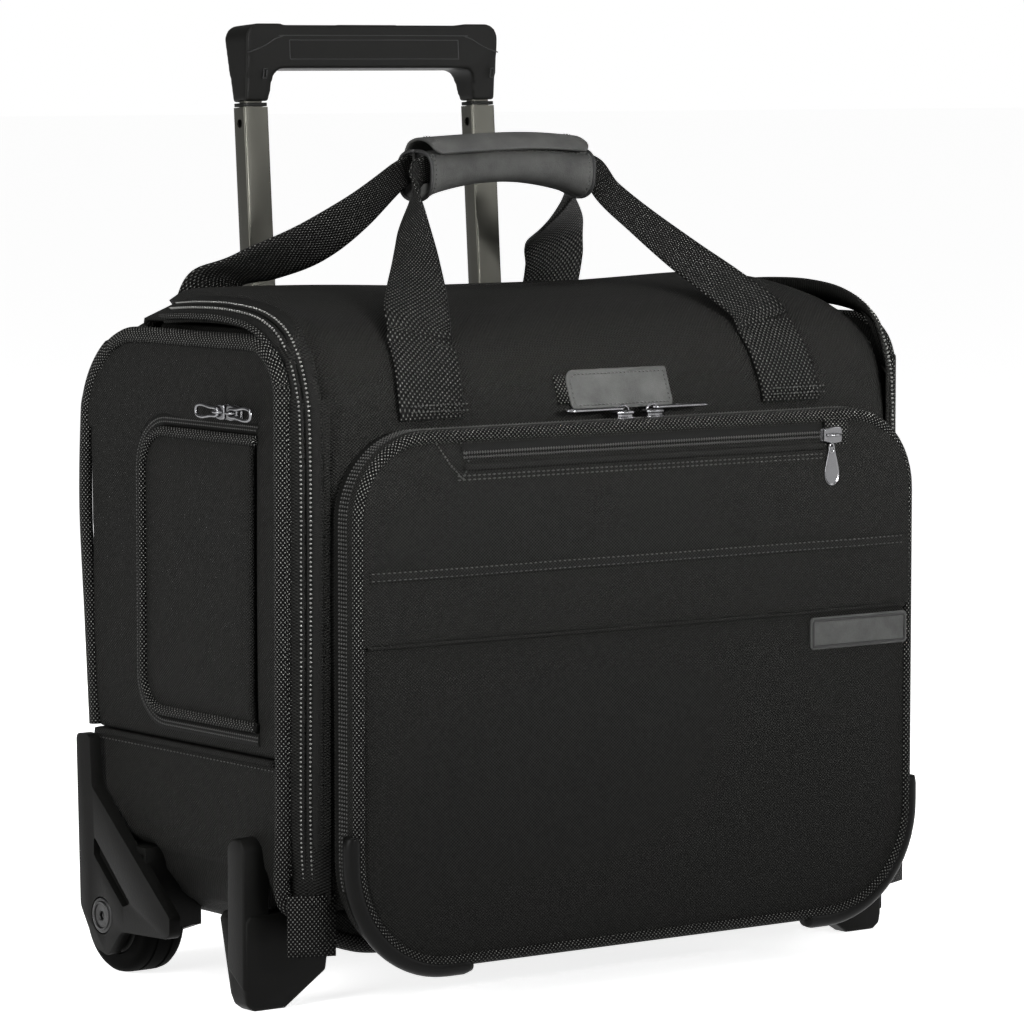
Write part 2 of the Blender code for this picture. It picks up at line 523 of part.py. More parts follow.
def trolley():
    """The telescopic pull handle: fixed outer tubes, sliding middle and inner tubes, and the grip."""
    for letter, x in (("l", -TUBE_X), ("r", TUBE_X)):
        hollow_tube(f"outer_tube_{letter}", OUTER_TUBE, OUTER_TUBE_LOW, OUTER_TUBE_HIGH, x, ALUMINIUM)
        hollow_tube(f"middle_tube_{letter}", MID_TUBE, MID_TUBE_LOW, MID_TUBE_HIGH, x, ALUMINIUM)
        hollow_tube(f"inner_tube_{letter}", INNER_TUBE, INNER_TUBE_LOW, GRIP_LOW + 0.0060, x, ALUMINIUM)
        half_x, half_y = MID_TUBE[0] / 2, MID_TUBE[1] / 2
        collar = prism(f"tube_collar_{letter}", rectangle(x - half_x, x + half_x, -half_y, half_y, 0.002, 2),
                       GRIP_PLASTIC, along_z(MID_TUBE_HIGH + GAP, COLLAR_HIGH), trolley_frame)
        hole_x, hole_y = INNER_TUBE[0] / 2 + GAP, INNER_TUBE[1] / 2 + GAP
        combine(collar, prism(f"cut_collar_{letter}", rectangle(x - hole_x, x + hole_x, -hole_y, hole_y), None,
                              along_z(MID_TUBE_HIGH - 0.01, COLLAR_HIGH + 0.01), trolley_frame), "DIFFERENCE")
        prism(f"lock_rod_{letter}", rectangle(x - 0.0022, x + 0.0022, -0.0011, 0.0011), STEEL,
              along_z(INNER_TUBE_LOW + 0.010, GRIP_BAR_LOW + 0.0095), trolley_frame)
    grip()
    channel = prism("back_cover", rectangle(-COVER_HALF_WIDTH, COVER_HALF_WIDTH, -0.0086, 0.0098, 0.003, 2), NYLON,
                    along_z(OUTER_TUBE_LOW - 0.0004, OUTER_TUBE_HIGH), trolley_frame)
    inside = prism("cut_cover", rectangle(0.002 - COVER_HALF_WIDTH, COVER_HALF_WIDTH - 0.002, -0.02, 0.0078), None,
                   along_z(OUTER_TUBE_LOW - 0.02, OUTER_TUBE_HIGH + 0.02), trolley_frame)
    combine(channel, inside, "DIFFERENCE")
    bezel = prism("trolley_bezel", rectangle(-COVER_HALF_WIDTH, COVER_HALF_WIDTH, -0.0066, 0.0098, 0.004, 4),
                  GRIP_PLASTIC, along_z(OUTER_TUBE_HIGH + GAP, OUTER_TUBE_HIGH + 0.0050), trolley_frame)
    for letter, x in (("l", -TUBE_X), ("r", TUBE_X)):
        hole_x, hole_y = MID_TUBE[0] / 2 + GAP, MID_TUBE[1] / 2 + GAP
        combine(bezel, prism(f"cut_bezel_{letter}", rectangle(x - hole_x, x + hole_x, -hole_y, hole_y), None,
                             along_z(OUTER_TUBE_HIGH - 0.01, OUTER_TUBE_HIGH + 0.02), trolley_frame), "DIFFERENCE")
    prism("trolley_foot_bracket", rectangle(-COVER_HALF_WIDTH, COVER_HALF_WIDTH, -0.0066, 0.0098, 0.003, 2), PLASTIC,
          along_z(OUTER_TUBE_LOW - 0.0060, OUTER_TUBE_LOW - 0.0008), trolley_frame)


def grip():
    """Two moulded shells split along the bar, with the release button in the upper one."""
    def place(u, v, t):
        half = GRIP_DEPTH / 2 - 0.0045 * max(0.0, 1 - (v - GRIP_LOW) / 0.018)
        return (u, (2 * t - 1) * half, v)

    leg_inner, leg_outer, bar_end = 0.0660, 0.0805, 0.0640
    lower = rounded([(-leg_outer, GRIP_LOW, 0), (-leg_inner, GRIP_LOW, 0), (-bar_end, GRIP_BAR_LOW, 0.006),
                     (bar_end, GRIP_BAR_LOW, 0.006), (leg_inner, GRIP_LOW, 0), (leg_outer, GRIP_LOW, 0),
                     (GRIP_HALF_WIDTH, GRIP_SPLIT, 0), (-GRIP_HALF_WIDTH, GRIP_SPLIT, 0)], 4)
    shell = prism("grip_lower_shell", lower, GRIP_PLASTIC, place, trolley_frame)
    for letter, x in (("l", -TUBE_X), ("r", TUBE_X)):
        half_x, half_y = INNER_TUBE[0] / 2 + GAP, INNER_TUBE[1] / 2 + GAP
        combine(shell, prism(f"cut_leg_{letter}", rectangle(x - half_x, x + half_x, -half_y, half_y), None,
                             along_z(GRIP_LOW - 0.01, GRIP_LOW + 0.0075), trolley_frame), "DIFFERENCE")
    works = rectangle(-TUBE_X - 0.004, TUBE_X + 0.004, -0.0056, 0.0056)
    combine(shell, prism("cut_works", works, None, along_z(GRIP_BAR_LOW + 0.0030, GRIP_SPLIT + 0.01), trolley_frame),
            "DIFFERENCE")
    for letter, x in (("l", -TUBE_X), ("r", TUBE_X)):
        combine(shell, prism(f"cut_rod_way_{letter}", rectangle(x - 0.003, x + 0.003, -0.002, 0.002), None,
                             along_z(GRIP_LOW, GRIP_SPLIT), trolley_frame), "DIFFERENCE")
    lug, dip = 0.0595, 0.0571
    upper = rounded([(GRIP_HALF_WIDTH, GRIP_SPLIT + GAP, 0), (GRIP_HALF_WIDTH, GRIP_HIGH, 0.0075),
                     (lug, GRIP_HIGH, 0.001), (dip, GRIP_HIGH - 0.0008, 0.001), (-dip, GRIP_HIGH - 0.0008, 0.001),
                     (-lug, GRIP_HIGH, 0.001), (-GRIP_HALF_WIDTH, GRIP_HIGH, 0.0075),
                     (-GRIP_HALF_WIDTH, GRIP_SPLIT + GAP, 0)], 4)
    cap = prism("grip_upper_shell", upper, GRIP_PLASTIC, place, trolley_frame)
    combine(cap, prism("cut_button_way", rectangle(-0.0202, 0.0202, -0.0054, 0.0054), None,
                       along_z(GRIP_SPLIT - 0.01, GRIP_HIGH + 0.01), trolley_frame), "DIFFERENCE")
    prism("release_button", rectangle(-0.0197, 0.0197, -0.0049, 0.0049, 0.002, 3), PLASTIC,
          along_z(GRIP_BAR_LOW + 0.0122, GRIP_HIGH - 0.0003), trolley_frame)
    prism("lock_crossbar", rectangle(-TUBE_X - 0.0022, TUBE_X + 0.0022, -0.0011, 0.0011), STEEL,
          along_z(GRIP_BAR_LOW + 0.0098, GRIP_BAR_LOW + 0.0118), trolley_frame)
    turns, radius = 3, 0.0026
    coil = []
    for step in range(turns * 12 + 1):
        angle = 2 * math.pi * step / 12
        height = GRIP_BAR_LOW + 0.0038 + 0.0056 * step / (turns * 12)
        coil.append((radius * math.cos(angle), radius * math.sin(angle), height))
    rod("button_spring", coil, 0.0004, STEEL, 1, trolley_frame)


def carry_handle():
    """Two webbing loops, the front one sewn to the lid and the rear one to the back wall. Each runs through
    its own half of the padded wrap, and a flap on the front half closes over both."""
    front_y, rear_y = WRAP_Y - 0.0078, WRAP_Y + 0.0078
    core_z = (WRAP_LOW_Z + WRAP_HIGH_Z) / 2
    slim, thick = 0.014, STRAP_THICK
    front = [(-STRAP_X, -0.0362, 0.2900, STRAP_WIDTH, 0), (-0.1125, -0.0318, 0.3010, STRAP_WIDTH, 0),
             (-0.1100, -0.0226, 0.3190, STRAP_WIDTH, 0.02), (-0.1065, -0.0085, 0.3360, STRAP_WIDTH - 0.001, 0.05),
             (-0.0965, 0.0060, 0.3470, 0.034, 0.10), (-0.0850, 0.0230, 0.3610, 0.027, 0.25),
             (-0.0730, 0.0420, 0.3775, 0.020, 0.50), (-0.0625, 0.0570, 0.3930, 0.015, 0.85),
             (-0.0560, front_y - 0.0004, core_z - 0.0015, slim, 1), (-0.0480, front_y, core_z, slim, 1),
             (-0.030, front_y, core_z, slim, 1)]
    rear_x = -REAR_STRAP_X
    rear = [(rear_x, back_y(0.290) + 0.0016, 0.2900, STRAP_WIDTH, 0),
            (rear_x, back_y(0.312) + 0.0016, 0.3120, STRAP_WIDTH, 0),
            (rear_x, back_y(0.337) + 0.0016, 0.3370, STRAP_WIDTH, 0.0),
            (-0.1040, 0.1640, 0.3530, 0.035, -0.08), (-0.0905, 0.1440, 0.3630, 0.030, -0.22),
            (-0.0760, 0.1190, 0.3775, 0.023, -0.45), (-0.0655, 0.0980, 0.3930, 0.016, -0.85),
            (-0.0575, rear_y + 0.0014, core_z - 0.0020, slim, -1), (-0.0500, rear_y, core_z, slim, -1),
            (-0.030, rear_y, core_z, slim, -1)]
    for name, half in (("strap_front", front), ("strap_rear", rear)):
        other = [(-x, y, z, width, 2 * knots_sign - twist if knots_sign else twist)
                 for x, y, z, width, twist in reversed(half) for knots_sign in (math.copysign(1, half[-1][4]),)]
        ribbon(name, half + other, thick, WEBBING)

    for name, low_y, high_y, slot_y in (("wrap_front", WRAP_Y - WRAP_HALF_DEPTH, WRAP_Y - GAP / 2, front_y),
                                        ("wrap_rear", WRAP_Y + GAP / 2, WRAP_Y + WRAP_HALF_DEPTH, rear_y)):
        outer_r, inner_r = 0.008, 0.0006
        radii = (outer_r, inner_r, inner_r, outer_r) if low_y < WRAP_Y - 0.001 else (inner_r, outer_r, outer_r, inner_r)
        outline = rounded([(low_y, WRAP_LOW_Z, radii[0]), (high_y, WRAP_LOW_Z, radii[1]),
                           (high_y, WRAP_HIGH_Z, radii[2]), (low_y, WRAP_HIGH_Z, radii[3])], 4)
        half = prism(name, outline, LEATHER, along_x(-WRAP_HALF_LENGTH, WRAP_HALF_LENGTH))
        room = 0.0012
        slot = rectangle(slot_y - thick / 2 - room, slot_y + thick / 2 + room, core_z - slim / 2 - room,
                         core_z + slim / 2 + room)
        combine(half, prism("cut_" + name, slot, None, along_x(-0.08, 0.08)), "DIFFERENCE")
    prism("wrap_flap", rectangle(WRAP_Y - WRAP_HALF_DEPTH + 0.004, WRAP_Y + WRAP_HALF_DEPTH - 0.004,
                                 WRAP_HIGH_Z + GAP, WRAP_HIGH_Z + 0.0030, 0.0009, 2), LEATHER,
          along_x(0.0035 - WRAP_HALF_LENGTH, WRAP_HALF_LENGTH - 0.0035))


tub()
boards()
lid()
front_panel()
panel_zips()
trolley()
carry_handle()
for letter, side in (("l", -1), ("r", 1)):
    side_pocket(side, letter)
    corner_guard(side, letter)
    wheel(side, letter)
    front_foot(side, letter)
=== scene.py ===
import math

import bpy
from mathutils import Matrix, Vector


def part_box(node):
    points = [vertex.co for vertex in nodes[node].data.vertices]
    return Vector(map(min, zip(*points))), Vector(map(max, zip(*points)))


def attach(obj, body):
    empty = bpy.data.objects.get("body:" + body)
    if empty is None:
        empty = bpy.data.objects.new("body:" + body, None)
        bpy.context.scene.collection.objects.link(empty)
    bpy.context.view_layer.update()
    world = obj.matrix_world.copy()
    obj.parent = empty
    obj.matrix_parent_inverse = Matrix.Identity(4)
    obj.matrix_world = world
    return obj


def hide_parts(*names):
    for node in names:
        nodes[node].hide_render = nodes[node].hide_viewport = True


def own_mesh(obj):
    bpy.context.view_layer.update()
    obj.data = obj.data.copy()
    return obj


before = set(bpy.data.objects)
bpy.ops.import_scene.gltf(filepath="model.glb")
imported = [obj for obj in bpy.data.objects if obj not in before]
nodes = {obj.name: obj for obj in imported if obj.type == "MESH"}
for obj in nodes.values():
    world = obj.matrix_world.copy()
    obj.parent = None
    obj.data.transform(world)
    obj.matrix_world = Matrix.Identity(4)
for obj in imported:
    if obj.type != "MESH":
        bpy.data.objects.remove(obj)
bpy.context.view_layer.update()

# The view, the ground and the light. A long lens stands well back at the case's front left; the case is on
# a white sweep that gives it no light of its own, under one wide soft box overhead, one at each side and a
# narrow strip in front, aimed at the panel's top so that its light falls off towards the ground.
eye = bpy.data.cameras.new("eye")
eye.lens = 179.3
eye.clip_end = 60.0
eye_stand = bpy.data.objects.new("eye", eye)
eye_stand.location = (-1.562, -2.1081, 0.465)
eye_stand.rotation_euler = (math.radians(84.85), 0, math.radians(-36.72))
bpy.context.scene.collection.objects.link(eye_stand)
bpy.context.scene.camera = eye_stand
bpy.context.scene.view_settings.view_transform = "Standard"

room = bpy.data.worlds.new("white_room")
room.use_nodes = True
bpy.context.scene.world = room
room_light = room.node_tree.nodes["Background"]
room_light.inputs["Color"].default_value = (1.0, 1.0, 1.0, 1.0)
room_light.inputs["Strength"].default_value = 0.17
seen_room = room.node_tree.nodes.new("ShaderNodeBackground")
seen_room.inputs["Color"].default_value = (1.0, 1.0, 1.0, 1.0)
which_ray = room.node_tree.nodes.new("ShaderNodeLightPath")
choose = room.node_tree.nodes.new("ShaderNodeMixShader")
room.node_tree.links.new(which_ray.outputs["Is Camera Ray"], choose.inputs[0])
room.node_tree.links.new(room_light.outputs[0], choose.inputs[1])
room.node_tree.links.new(seen_room.outputs[0], choose.inputs[2])
room.node_tree.links.new(choose.outputs[0], room.node_tree.nodes["World Output"].inputs["Surface"])

for name, place, aim, width, depth, power, spread in (
        ("overhead_box", (-0.1, -0.35, 1.8), (0, 0.0, 0.25), 1.6, 0.9, 13.0, 180.0),
        ("left_box", (-2.0, -0.35, 1.0), (-0.1, 0.0, 0.2), 1.0, 1.6, 46.0, 180.0),
        ("right_box", (1.5, -1.3, 0.9), (0.1, 0.0, 0.25), 0.7, 1.4, 12.0, 180.0),
        ("front_box", (0.0, -1.30, 0.55), (0.0, -0.13, 0.33), 1.3, 0.15, 2.6, 31.0)):
    soft_box = bpy.data.lights.new(name, "AREA")
    soft_box.shape = "RECTANGLE"
    soft_box.size, soft_box.size_y, soft_box.energy = width, depth, power
    soft_box.spread = math.radians(spread)
    stand = bpy.data.objects.new(name, soft_box)
    stand.location = place
    stand.rotation_euler = (Vector(aim) - Vector(place)).to_track_quat("-Z", "Y").to_euler()
    bpy.context.scene.collection.objects.link(stand)

bpy.ops.object.select_all(action="DESELECT")
bpy.ops.mesh.primitive_plane_add(size=60.0, location=(0, 0, 0))
ground = bpy.context.active_object
ground.name = "ground"
ground.visible_diffuse = False
ground_paint = bpy.data.materials.new("white_sweep")
ground_paint.use_nodes = True
ground_shader = ground_paint.node_tree.nodes["Principled BSDF"]
ground_shader.inputs["Base Color"].default_value = (0.93, 0.93, 0.93, 1)
ground_shader.inputs["Roughness"].default_value = 0.9
ground_shader.inputs["Emission Color"].default_value = (1, 1, 1, 1)
ground_shader.inputs["Emission Strength"].default_value = 0.82
ground.data.materials.append(ground_paint)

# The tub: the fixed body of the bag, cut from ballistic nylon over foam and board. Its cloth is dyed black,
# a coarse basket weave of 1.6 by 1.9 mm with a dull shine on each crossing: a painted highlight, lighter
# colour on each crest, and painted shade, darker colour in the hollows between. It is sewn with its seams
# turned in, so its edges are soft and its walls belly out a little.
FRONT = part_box("front_foot_l")[0].y  # the front of the feet; every depth below is measured from here
TUB_SEAM_Z = 0.1235
TUB_SIDE_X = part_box("body_tub")[1].x
NYLON_PITCH = (0.0019, 0.0016)


def math_step(tree, kind, first, second=0.0, third=None):
    """One Math node; each input is a number or another node's output."""
    step = tree.nodes.new("ShaderNodeMath")
    step.operation = kind
    for socket, value in zip(step.inputs, (first, second, third)):
        if isinstance(value, bpy.types.NodeSocket):
            tree.links.new(value, socket)
        elif value is not None:
            socket.default_value = value
    return step.outputs[0]


def blend_colours(tree, share, dark, light):
    """Between two colours by a share from 0 to 1."""
    ramp = tree.nodes.new("ShaderNodeValToRGB")
    ramp.color_ramp.elements[0].color = (*dark, 1)
    ramp.color_ramp.elements[1].color = (*light, 1)
    tree.links.new(share, ramp.inputs["Fac"])
    return ramp.outputs["Color"]


def noise(tree, where, scale, detail=3.0, roughness=0.55):
    cloud = tree.nodes.new("ShaderNodeTexNoise")
    cloud.inputs["Scale"].default_value = scale
    cloud.inputs["Detail"].default_value = detail
    cloud.inputs["Roughness"].default_value = roughness
    tree.links.new(where, cloud.inputs["Vector"])
    return cloud.outputs["Fac"]


def tint(tree, colour):
    """Gives the finish its base colour from a node's output."""
    tree.links.new(colour, tree.nodes["Principled BSDF"].inputs["Base Color"])


def emboss(tree, height, depth, strength=1.0):
    bump = tree.nodes.new("ShaderNodeBump")
    bump.inputs["Strength"].default_value = strength
    bump.inputs["Distance"].default_value = depth
    tree.links.new(height, bump.inputs["Height"])
    tree.links.new(bump.outputs["Normal"], tree.nodes["Principled BSDF"].inputs["Normal"])


def finish_base(name, roughness, specular, metallic=0.0, sheen=0.0, coat=0.0):
    made = bpy.data.materials.new(name)
    made.use_nodes = True
    shader = made.node_tree.nodes["Principled BSDF"]
    shader.inputs["Roughness"].default_value = roughness
    shader.inputs["Specular IOR Level"].default_value = specular
    shader.inputs["Metallic"].default_value = metallic
    shader.inputs["Sheen Weight"].default_value = sheen
    shader.inputs["Coat Weight"].default_value = coat
    return made, made.node_tree


def woven_cloth(name, pitch, dark, light, depth, roughness=0.62, specular=0.10, sheen=0.0):
    """A basket weave that lies flat on whichever way each face points, read from Object coordinates."""
    made, tree = finish_base(name, roughness, specular, sheen=sheen)
    where = tree.nodes.new("ShaderNodeTexCoord")
    place = tree.nodes.new("ShaderNodeSeparateXYZ")
    tree.links.new(where.outputs["Object"], place.inputs[0])
    facing = tree.nodes.new("ShaderNodeSeparateXYZ")
    tree.links.new(where.outputs["Normal"], facing.inputs[0])
    end_face = math_step(tree, "GREATER_THAN", math_step(tree, "ABSOLUTE", facing.outputs["X"]), 0.7)
    flat_face = math_step(tree, "GREATER_THAN", math_step(tree, "ABSOLUTE", facing.outputs["Z"]), 0.7)
    x, y, z = (place.outputs[axis] for axis in "XYZ")
    across = math_step(tree, "MULTIPLY_ADD", end_face, math_step(tree, "SUBTRACT", y, x), x)
    upward = math_step(tree, "MULTIPLY_ADD", flat_face, math_step(tree, "SUBTRACT", y, z), z)
    warp = math_step(tree, "SINE", math_step(tree, "MULTIPLY", across, 2 * math.pi / pitch[0]))
    weft = math_step(tree, "SINE", math_step(tree, "MULTIPLY", upward, 2 * math.pi / pitch[1]))
    crossing = math_step(tree, "MULTIPLY_ADD", math_step(tree, "MULTIPLY", warp, weft), 0.5, 0.5)
    mottled = noise(tree, where.outputs["Object"], 420.0, 2.0)
    # Painted highlight and painted shade: the colour is lighter on each crossing's crest and darker in the hollows,
    # following the same relief as the bump, times random mottling.
    crest_highlight_and_mottle = math_step(tree, "MULTIPLY", crossing, math_step(tree, "MULTIPLY_ADD", mottled, 1.1, 0.25))
    tint(tree, blend_colours(tree, crest_highlight_and_mottle, dark, light))
    emboss(tree, crossing, depth)
    return made


# Its lighter colour is the painted highlight on the weave's crossings, its darker one the painted shade between them.
BALLISTIC = woven_cloth("ballistic_nylon", NYLON_PITCH, (0.0015, 0.0015, 0.0013), (0.0230, 0.0230, 0.0215), 0.0006,
                        specular=0.06)


def add_mesh(name, points, faces, material, body, replaced=(), smooth=True):
    """A piece from points measured from the front of the feet, put on its body and given its finish."""
    mesh = bpy.data.meshes.new(name)
    mesh.from_pydata([(p[0], p[1] + FRONT, p[2]) for p in points], [], faces)
    mesh.materials.append(material)
    if smooth:
        mesh.shade_smooth()
    made = bpy.data.objects.new(name, mesh)
    bpy.context.scene.collection.objects.link(made)
    return settle(made, body, replaced)


def settle(piece, body, replaced=()):
    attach(piece, body)
    if replaced:
        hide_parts(*replaced)
    return piece


def only(piece):
    """Selects this piece alone."""
    bpy.ops.object.select_all(action="DESELECT")
    piece.select_set(True)
    bpy.context.view_layer.objects.active = piece


def apply_modifier(piece, kind, **settings):
    step = piece.modifiers.new(kind.lower(), kind)
    for key, value in settings.items():
        setattr(step, key, value)
    only(piece)
    bpy.ops.object.modifier_apply(modifier=step.name)
    return piece


def bevelled(piece, width, segments, degrees):
    """Rounds over the edges that are sharper than an angle."""
    return apply_modifier(piece, "BEVEL", width=width, segments=segments, limit_method="ANGLE",
                          angle_limit=math.radians(degrees))


def smooth_below(piece, degrees):
    """Shades smooth all but the edges sharper than an angle."""
    only(piece)
    bpy.ops.object.shade_smooth_by_angle(angle=math.radians(degrees))
    return piece


def on_whole_mesh(piece, *steps):
    """Runs edit-mode steps on all of a piece."""
    only(piece)
    bpy.ops.object.mode_set(mode="EDIT")
    bpy.ops.mesh.select_all(action="SELECT")
    for step in steps:
        step()
    bpy.ops.object.mode_set(mode="OBJECT")
    return piece


def sheet_faces(rows, columns):
    """The faces of a sheet of points, rows of columns + 1 points each."""
    wide = columns + 1
    return [(i * wide + j, i * wide + j + 1, (i + 1) * wide + j + 1, (i + 1) * wide + j)
            for i in range(rows) for j in range(columns)]


def hoop_faces(rings, around):
    """The faces between rings of points that each close on themselves."""
    return [(i * around + j, i * around + (j + 1) % around, (i + 1) * around + (j + 1) % around,
             (i + 1) * around + j) for i in range(rings - 1) for j in range(around)]


def end_caps(rings, around):
    return [tuple(range(around)), tuple((rings - 1) * around + j for j in range(around))]


def thickened(sheet, axis, sign, thickness):
    """Makes a sheet cloth of a real thickness, inwards from the side that faces sign along axis."""
    turn_outward(sheet)
    shown = sum(polygon.normal[axis] for polygon in sheet.data.polygons) * sign > 0
    return apply_modifier(sheet, "SOLIDIFY", thickness=thickness, offset=-1.0 if shown else 1.0)


def traced(node, name, material):
    """A new piece that starts as a welded copy of a solid."""
    piece = bpy.data.objects.new(name, nodes[node].data.copy())
    bpy.context.scene.collection.objects.link(piece)
    piece.data.materials.clear()
    piece.data.materials.append(material)
    return on_whole_mesh(piece, lambda: bpy.ops.mesh.remove_doubles(threshold=0.00002))


def sewn_soft(node, name, material, voxel, passes):
    """A welded copy whose hard folds are turned in and rounded, as cloth over foam."""
    piece = traced(node, name, material)
    apply_modifier(piece, "REMESH", mode="VOXEL", voxel_size=voxel, use_smooth_shade=True)
    apply_modifier(piece, "SMOOTH", iterations=passes, factor=0.5)
    return piece


SHOULDER_Y, SHOULDER_Z, SHOULDER_RADIUS = 0.1110, 0.2765, 0.0500


def shouldered(x, y, z):
    """Turns the bag's upper rear corners down in a wide curve towards both ends; y is from the feet."""
    share = min(1.0, max(0.0, (abs(x) - 0.126) / 0.034))
    out, up = y - SHOULDER_Y, z - SHOULDER_Z
    y -= 0.0058 * share * min(1.0, max(0.0, (z - 0.19) / 0.0865)) if up <= 0 < out else 0.0
    if out <= 0 or up <= 0:
        return y, z
    far = math.hypot(out, up)
    keep = 1 + (min(far, SHOULDER_RADIUS) / far - 1) * share
    return SHOULDER_Y + out * keep, SHOULDER_Z + up * keep


tub = sewn_soft("body_tub", "tub", BALLISTIC, 0.0030, 3)
for vertex in tub.data.vertices:
    vertex.co.y, vertex.co.z = shouldered(vertex.co.x, vertex.co.y - FRONT, vertex.co.z)
    vertex.co.y += FRONT
    x, y, z = vertex.co
    if abs(x) > TUB_SIDE_X - 0.002:
        belly = math.sin(math.pi * min(1, max(0, (z - 0.03) / 0.09))) * math.sin(
            math.pi * min(1, max(0, (y - FRONT + 0.017) / 0.17)))
        vertex.co.x += math.copysign(0.0022 * belly, x)
settle(tub, "case", ["body_tub"])

# The end pockets: a shallow zipped box of the same nylon sewn on each end of the tub, bound round its whole
# edge with a folded braid. A padded flap with a piped edge closes its window; a coil zip runs round the
# flap, and a stitched seam joins the box to the tub's lower end.
BRAID_PITCH = (0.0024, 0.0021)


def smooth_line(knots, per_span=8, closed=False):
    """Points of an even curve through the knots, each of them a tuple of three or more numbers."""
    if closed:
        ends = [knots[-1]] + list(knots) + [knots[0], knots[1]]
    else:
        ends = [tuple(2 * a - b for a, b in zip(knots[0], knots[1]))] + list(knots)
        ends.append(tuple(2 * a - b for a, b in zip(knots[-1], knots[-2])))
    line = []
    for k in range(1, len(ends) - 2):
        for step in range(per_span):
            t = step / per_span
            line.append(tuple(
                0.5 * (2 * b + (c - a) * t + (2 * a - 5 * b + 4 * c - d) * t**2 + (3 * b - a - 3 * c + d) * t**3)
                for a, b, c, d in zip(ends[k - 1], ends[k], ends[k + 1], ends[k + 2])))
    if not closed:
        line.append(tuple(knots[-1]))
    return line


def oval(across, out, sides=14, lift=0.0):
    """A round section, half as wide as across and half as high as out."""
    return [(across * math.cos(2 * math.pi * i / sides), lift + out * math.sin(2 * math.pi * i / sides))
            for i in range(sides)]


def frames_along(line, outward, closed):
    """The direction across and the direction out at each point of a line."""
    count = len(line)
    made = []
    for i in range(count):
        before = Vector(line[i - 1 if closed or i else 0][:3])
        after = Vector(line[(i + 1) % count if closed or i + 1 < count else i][:3])
        along = (after - before).normalized()
        out = Vector(outward[i] if isinstance(outward, list) else outward)
        out = (out - along * out.dot(along)).normalized()
        made.append((along.cross(out), out, along))
    return made


def run_along(name, line, outward, section, material, body, closed=False, replaced=(), widths=None,
              smooth=True):
    """A bead, tape or strap that follows a line. Its UV map holds metres along it and metres round it."""
    frames = frames_along(line, outward, closed)
    count, around = len(line), len(section)
    points, travelled = [], [0.0]
    for i, (across, out, _) in enumerate(frames):
        here = Vector(line[i][:3])
        width = widths[i] if widths else 1.0
        points += [here + across * a * width + out * b for a, b in section]
        if i:
            travelled.append(travelled[-1] + (here - Vector(line[i - 1][:3])).length)
    girth = [0.0]
    for j in range(around):
        girth.append(girth[-1] + (Vector(section[(j + 1) % around]) - Vector(section[j])).length)
    faces, marks = [], []
    spans = count if closed else count - 1
    length = travelled[-1] + (Vector(line[0][:3]) - Vector(line[-1][:3])).length
    for i in range(spans):
        nxt = (i + 1) % count
        far = travelled[i + 1] if i + 1 < count else length
        for j in range(around):
            k = (j + 1) % around
            faces.append((i * around + j, nxt * around + j, nxt * around + k, i * around + k))
            marks += [(travelled[i], girth[j]), (far, girth[j]), (far, girth[j + 1]), (travelled[i], girth[j + 1])]
    if not closed:
        faces.append(tuple(range(around)))
        marks += [(0.0, girth[j]) for j in range(around)]
        faces.append(tuple((count - 1) * around + j for j in reversed(range(around))))
        marks += [(length, girth[j]) for j in reversed(range(around))]
    made = add_mesh(name, points, faces, material, body, replaced, smooth)
    flat = made.data.uv_layers.new(name="along")
    for corner, mark in zip(flat.data, marks):
        corner.uv = mark
    return turn_outward(made)


def turn_outward(piece):
    return on_whole_mesh(piece, lambda: bpy.ops.mesh.normals_make_consistent(inside=False))


def shifted(line, outward, across, out, closed=False):
    """A line beside another, moved across and out."""
    return [tuple(Vector(p[:3]) + a * across + o * out)
            for p, (a, o, _) in zip(line, frames_along(line, outward, closed))]


def stitches(name, rows, material, body, pitch=0.0024, size=(0.0016, 0.0009, 0.0006)):
    """Rows of raised thread: each row is a line, its outward direction and whether it is closed."""
    points, faces = [], []
    half_long, half_wide, high = size[0] / 2, size[1] / 2, size[2]
    for line, outward, closed in rows:
        frames = frames_along(line, outward, closed)
        last = len(line) if closed else len(line) - 1
        carried = pitch / 2
        for i in range(last):
            start, end = Vector(line[i][:3]), Vector(line[(i + 1) % len(line)][:3])
            span = (end - start).length
            across, out, along = frames[i]
            while carried < span:
                centre = start.lerp(end, carried / span)
                base = len(points)
                points.append(centre - along * half_long)
                for reach in (-0.45, 0.45):
                    middle = centre + along * half_long * reach
                    points += [middle + across * half_wide, middle + out * high, middle - across * half_wide,
                               middle - out * high]
                points.append(centre + along * half_long)
                for j in range(4):
                    k = (j + 1) % 4
                    faces.append((base, base + 1 + j, base + 1 + k))
                    faces.append((base + 1 + j, base + 5 + j, base + 5 + k, base + 1 + k))
                    faces.append((base + 9, base + 5 + k, base + 5 + j))
                carried += pitch
            carried -= span
    return turn_outward(add_mesh(name, points, faces, material, body))


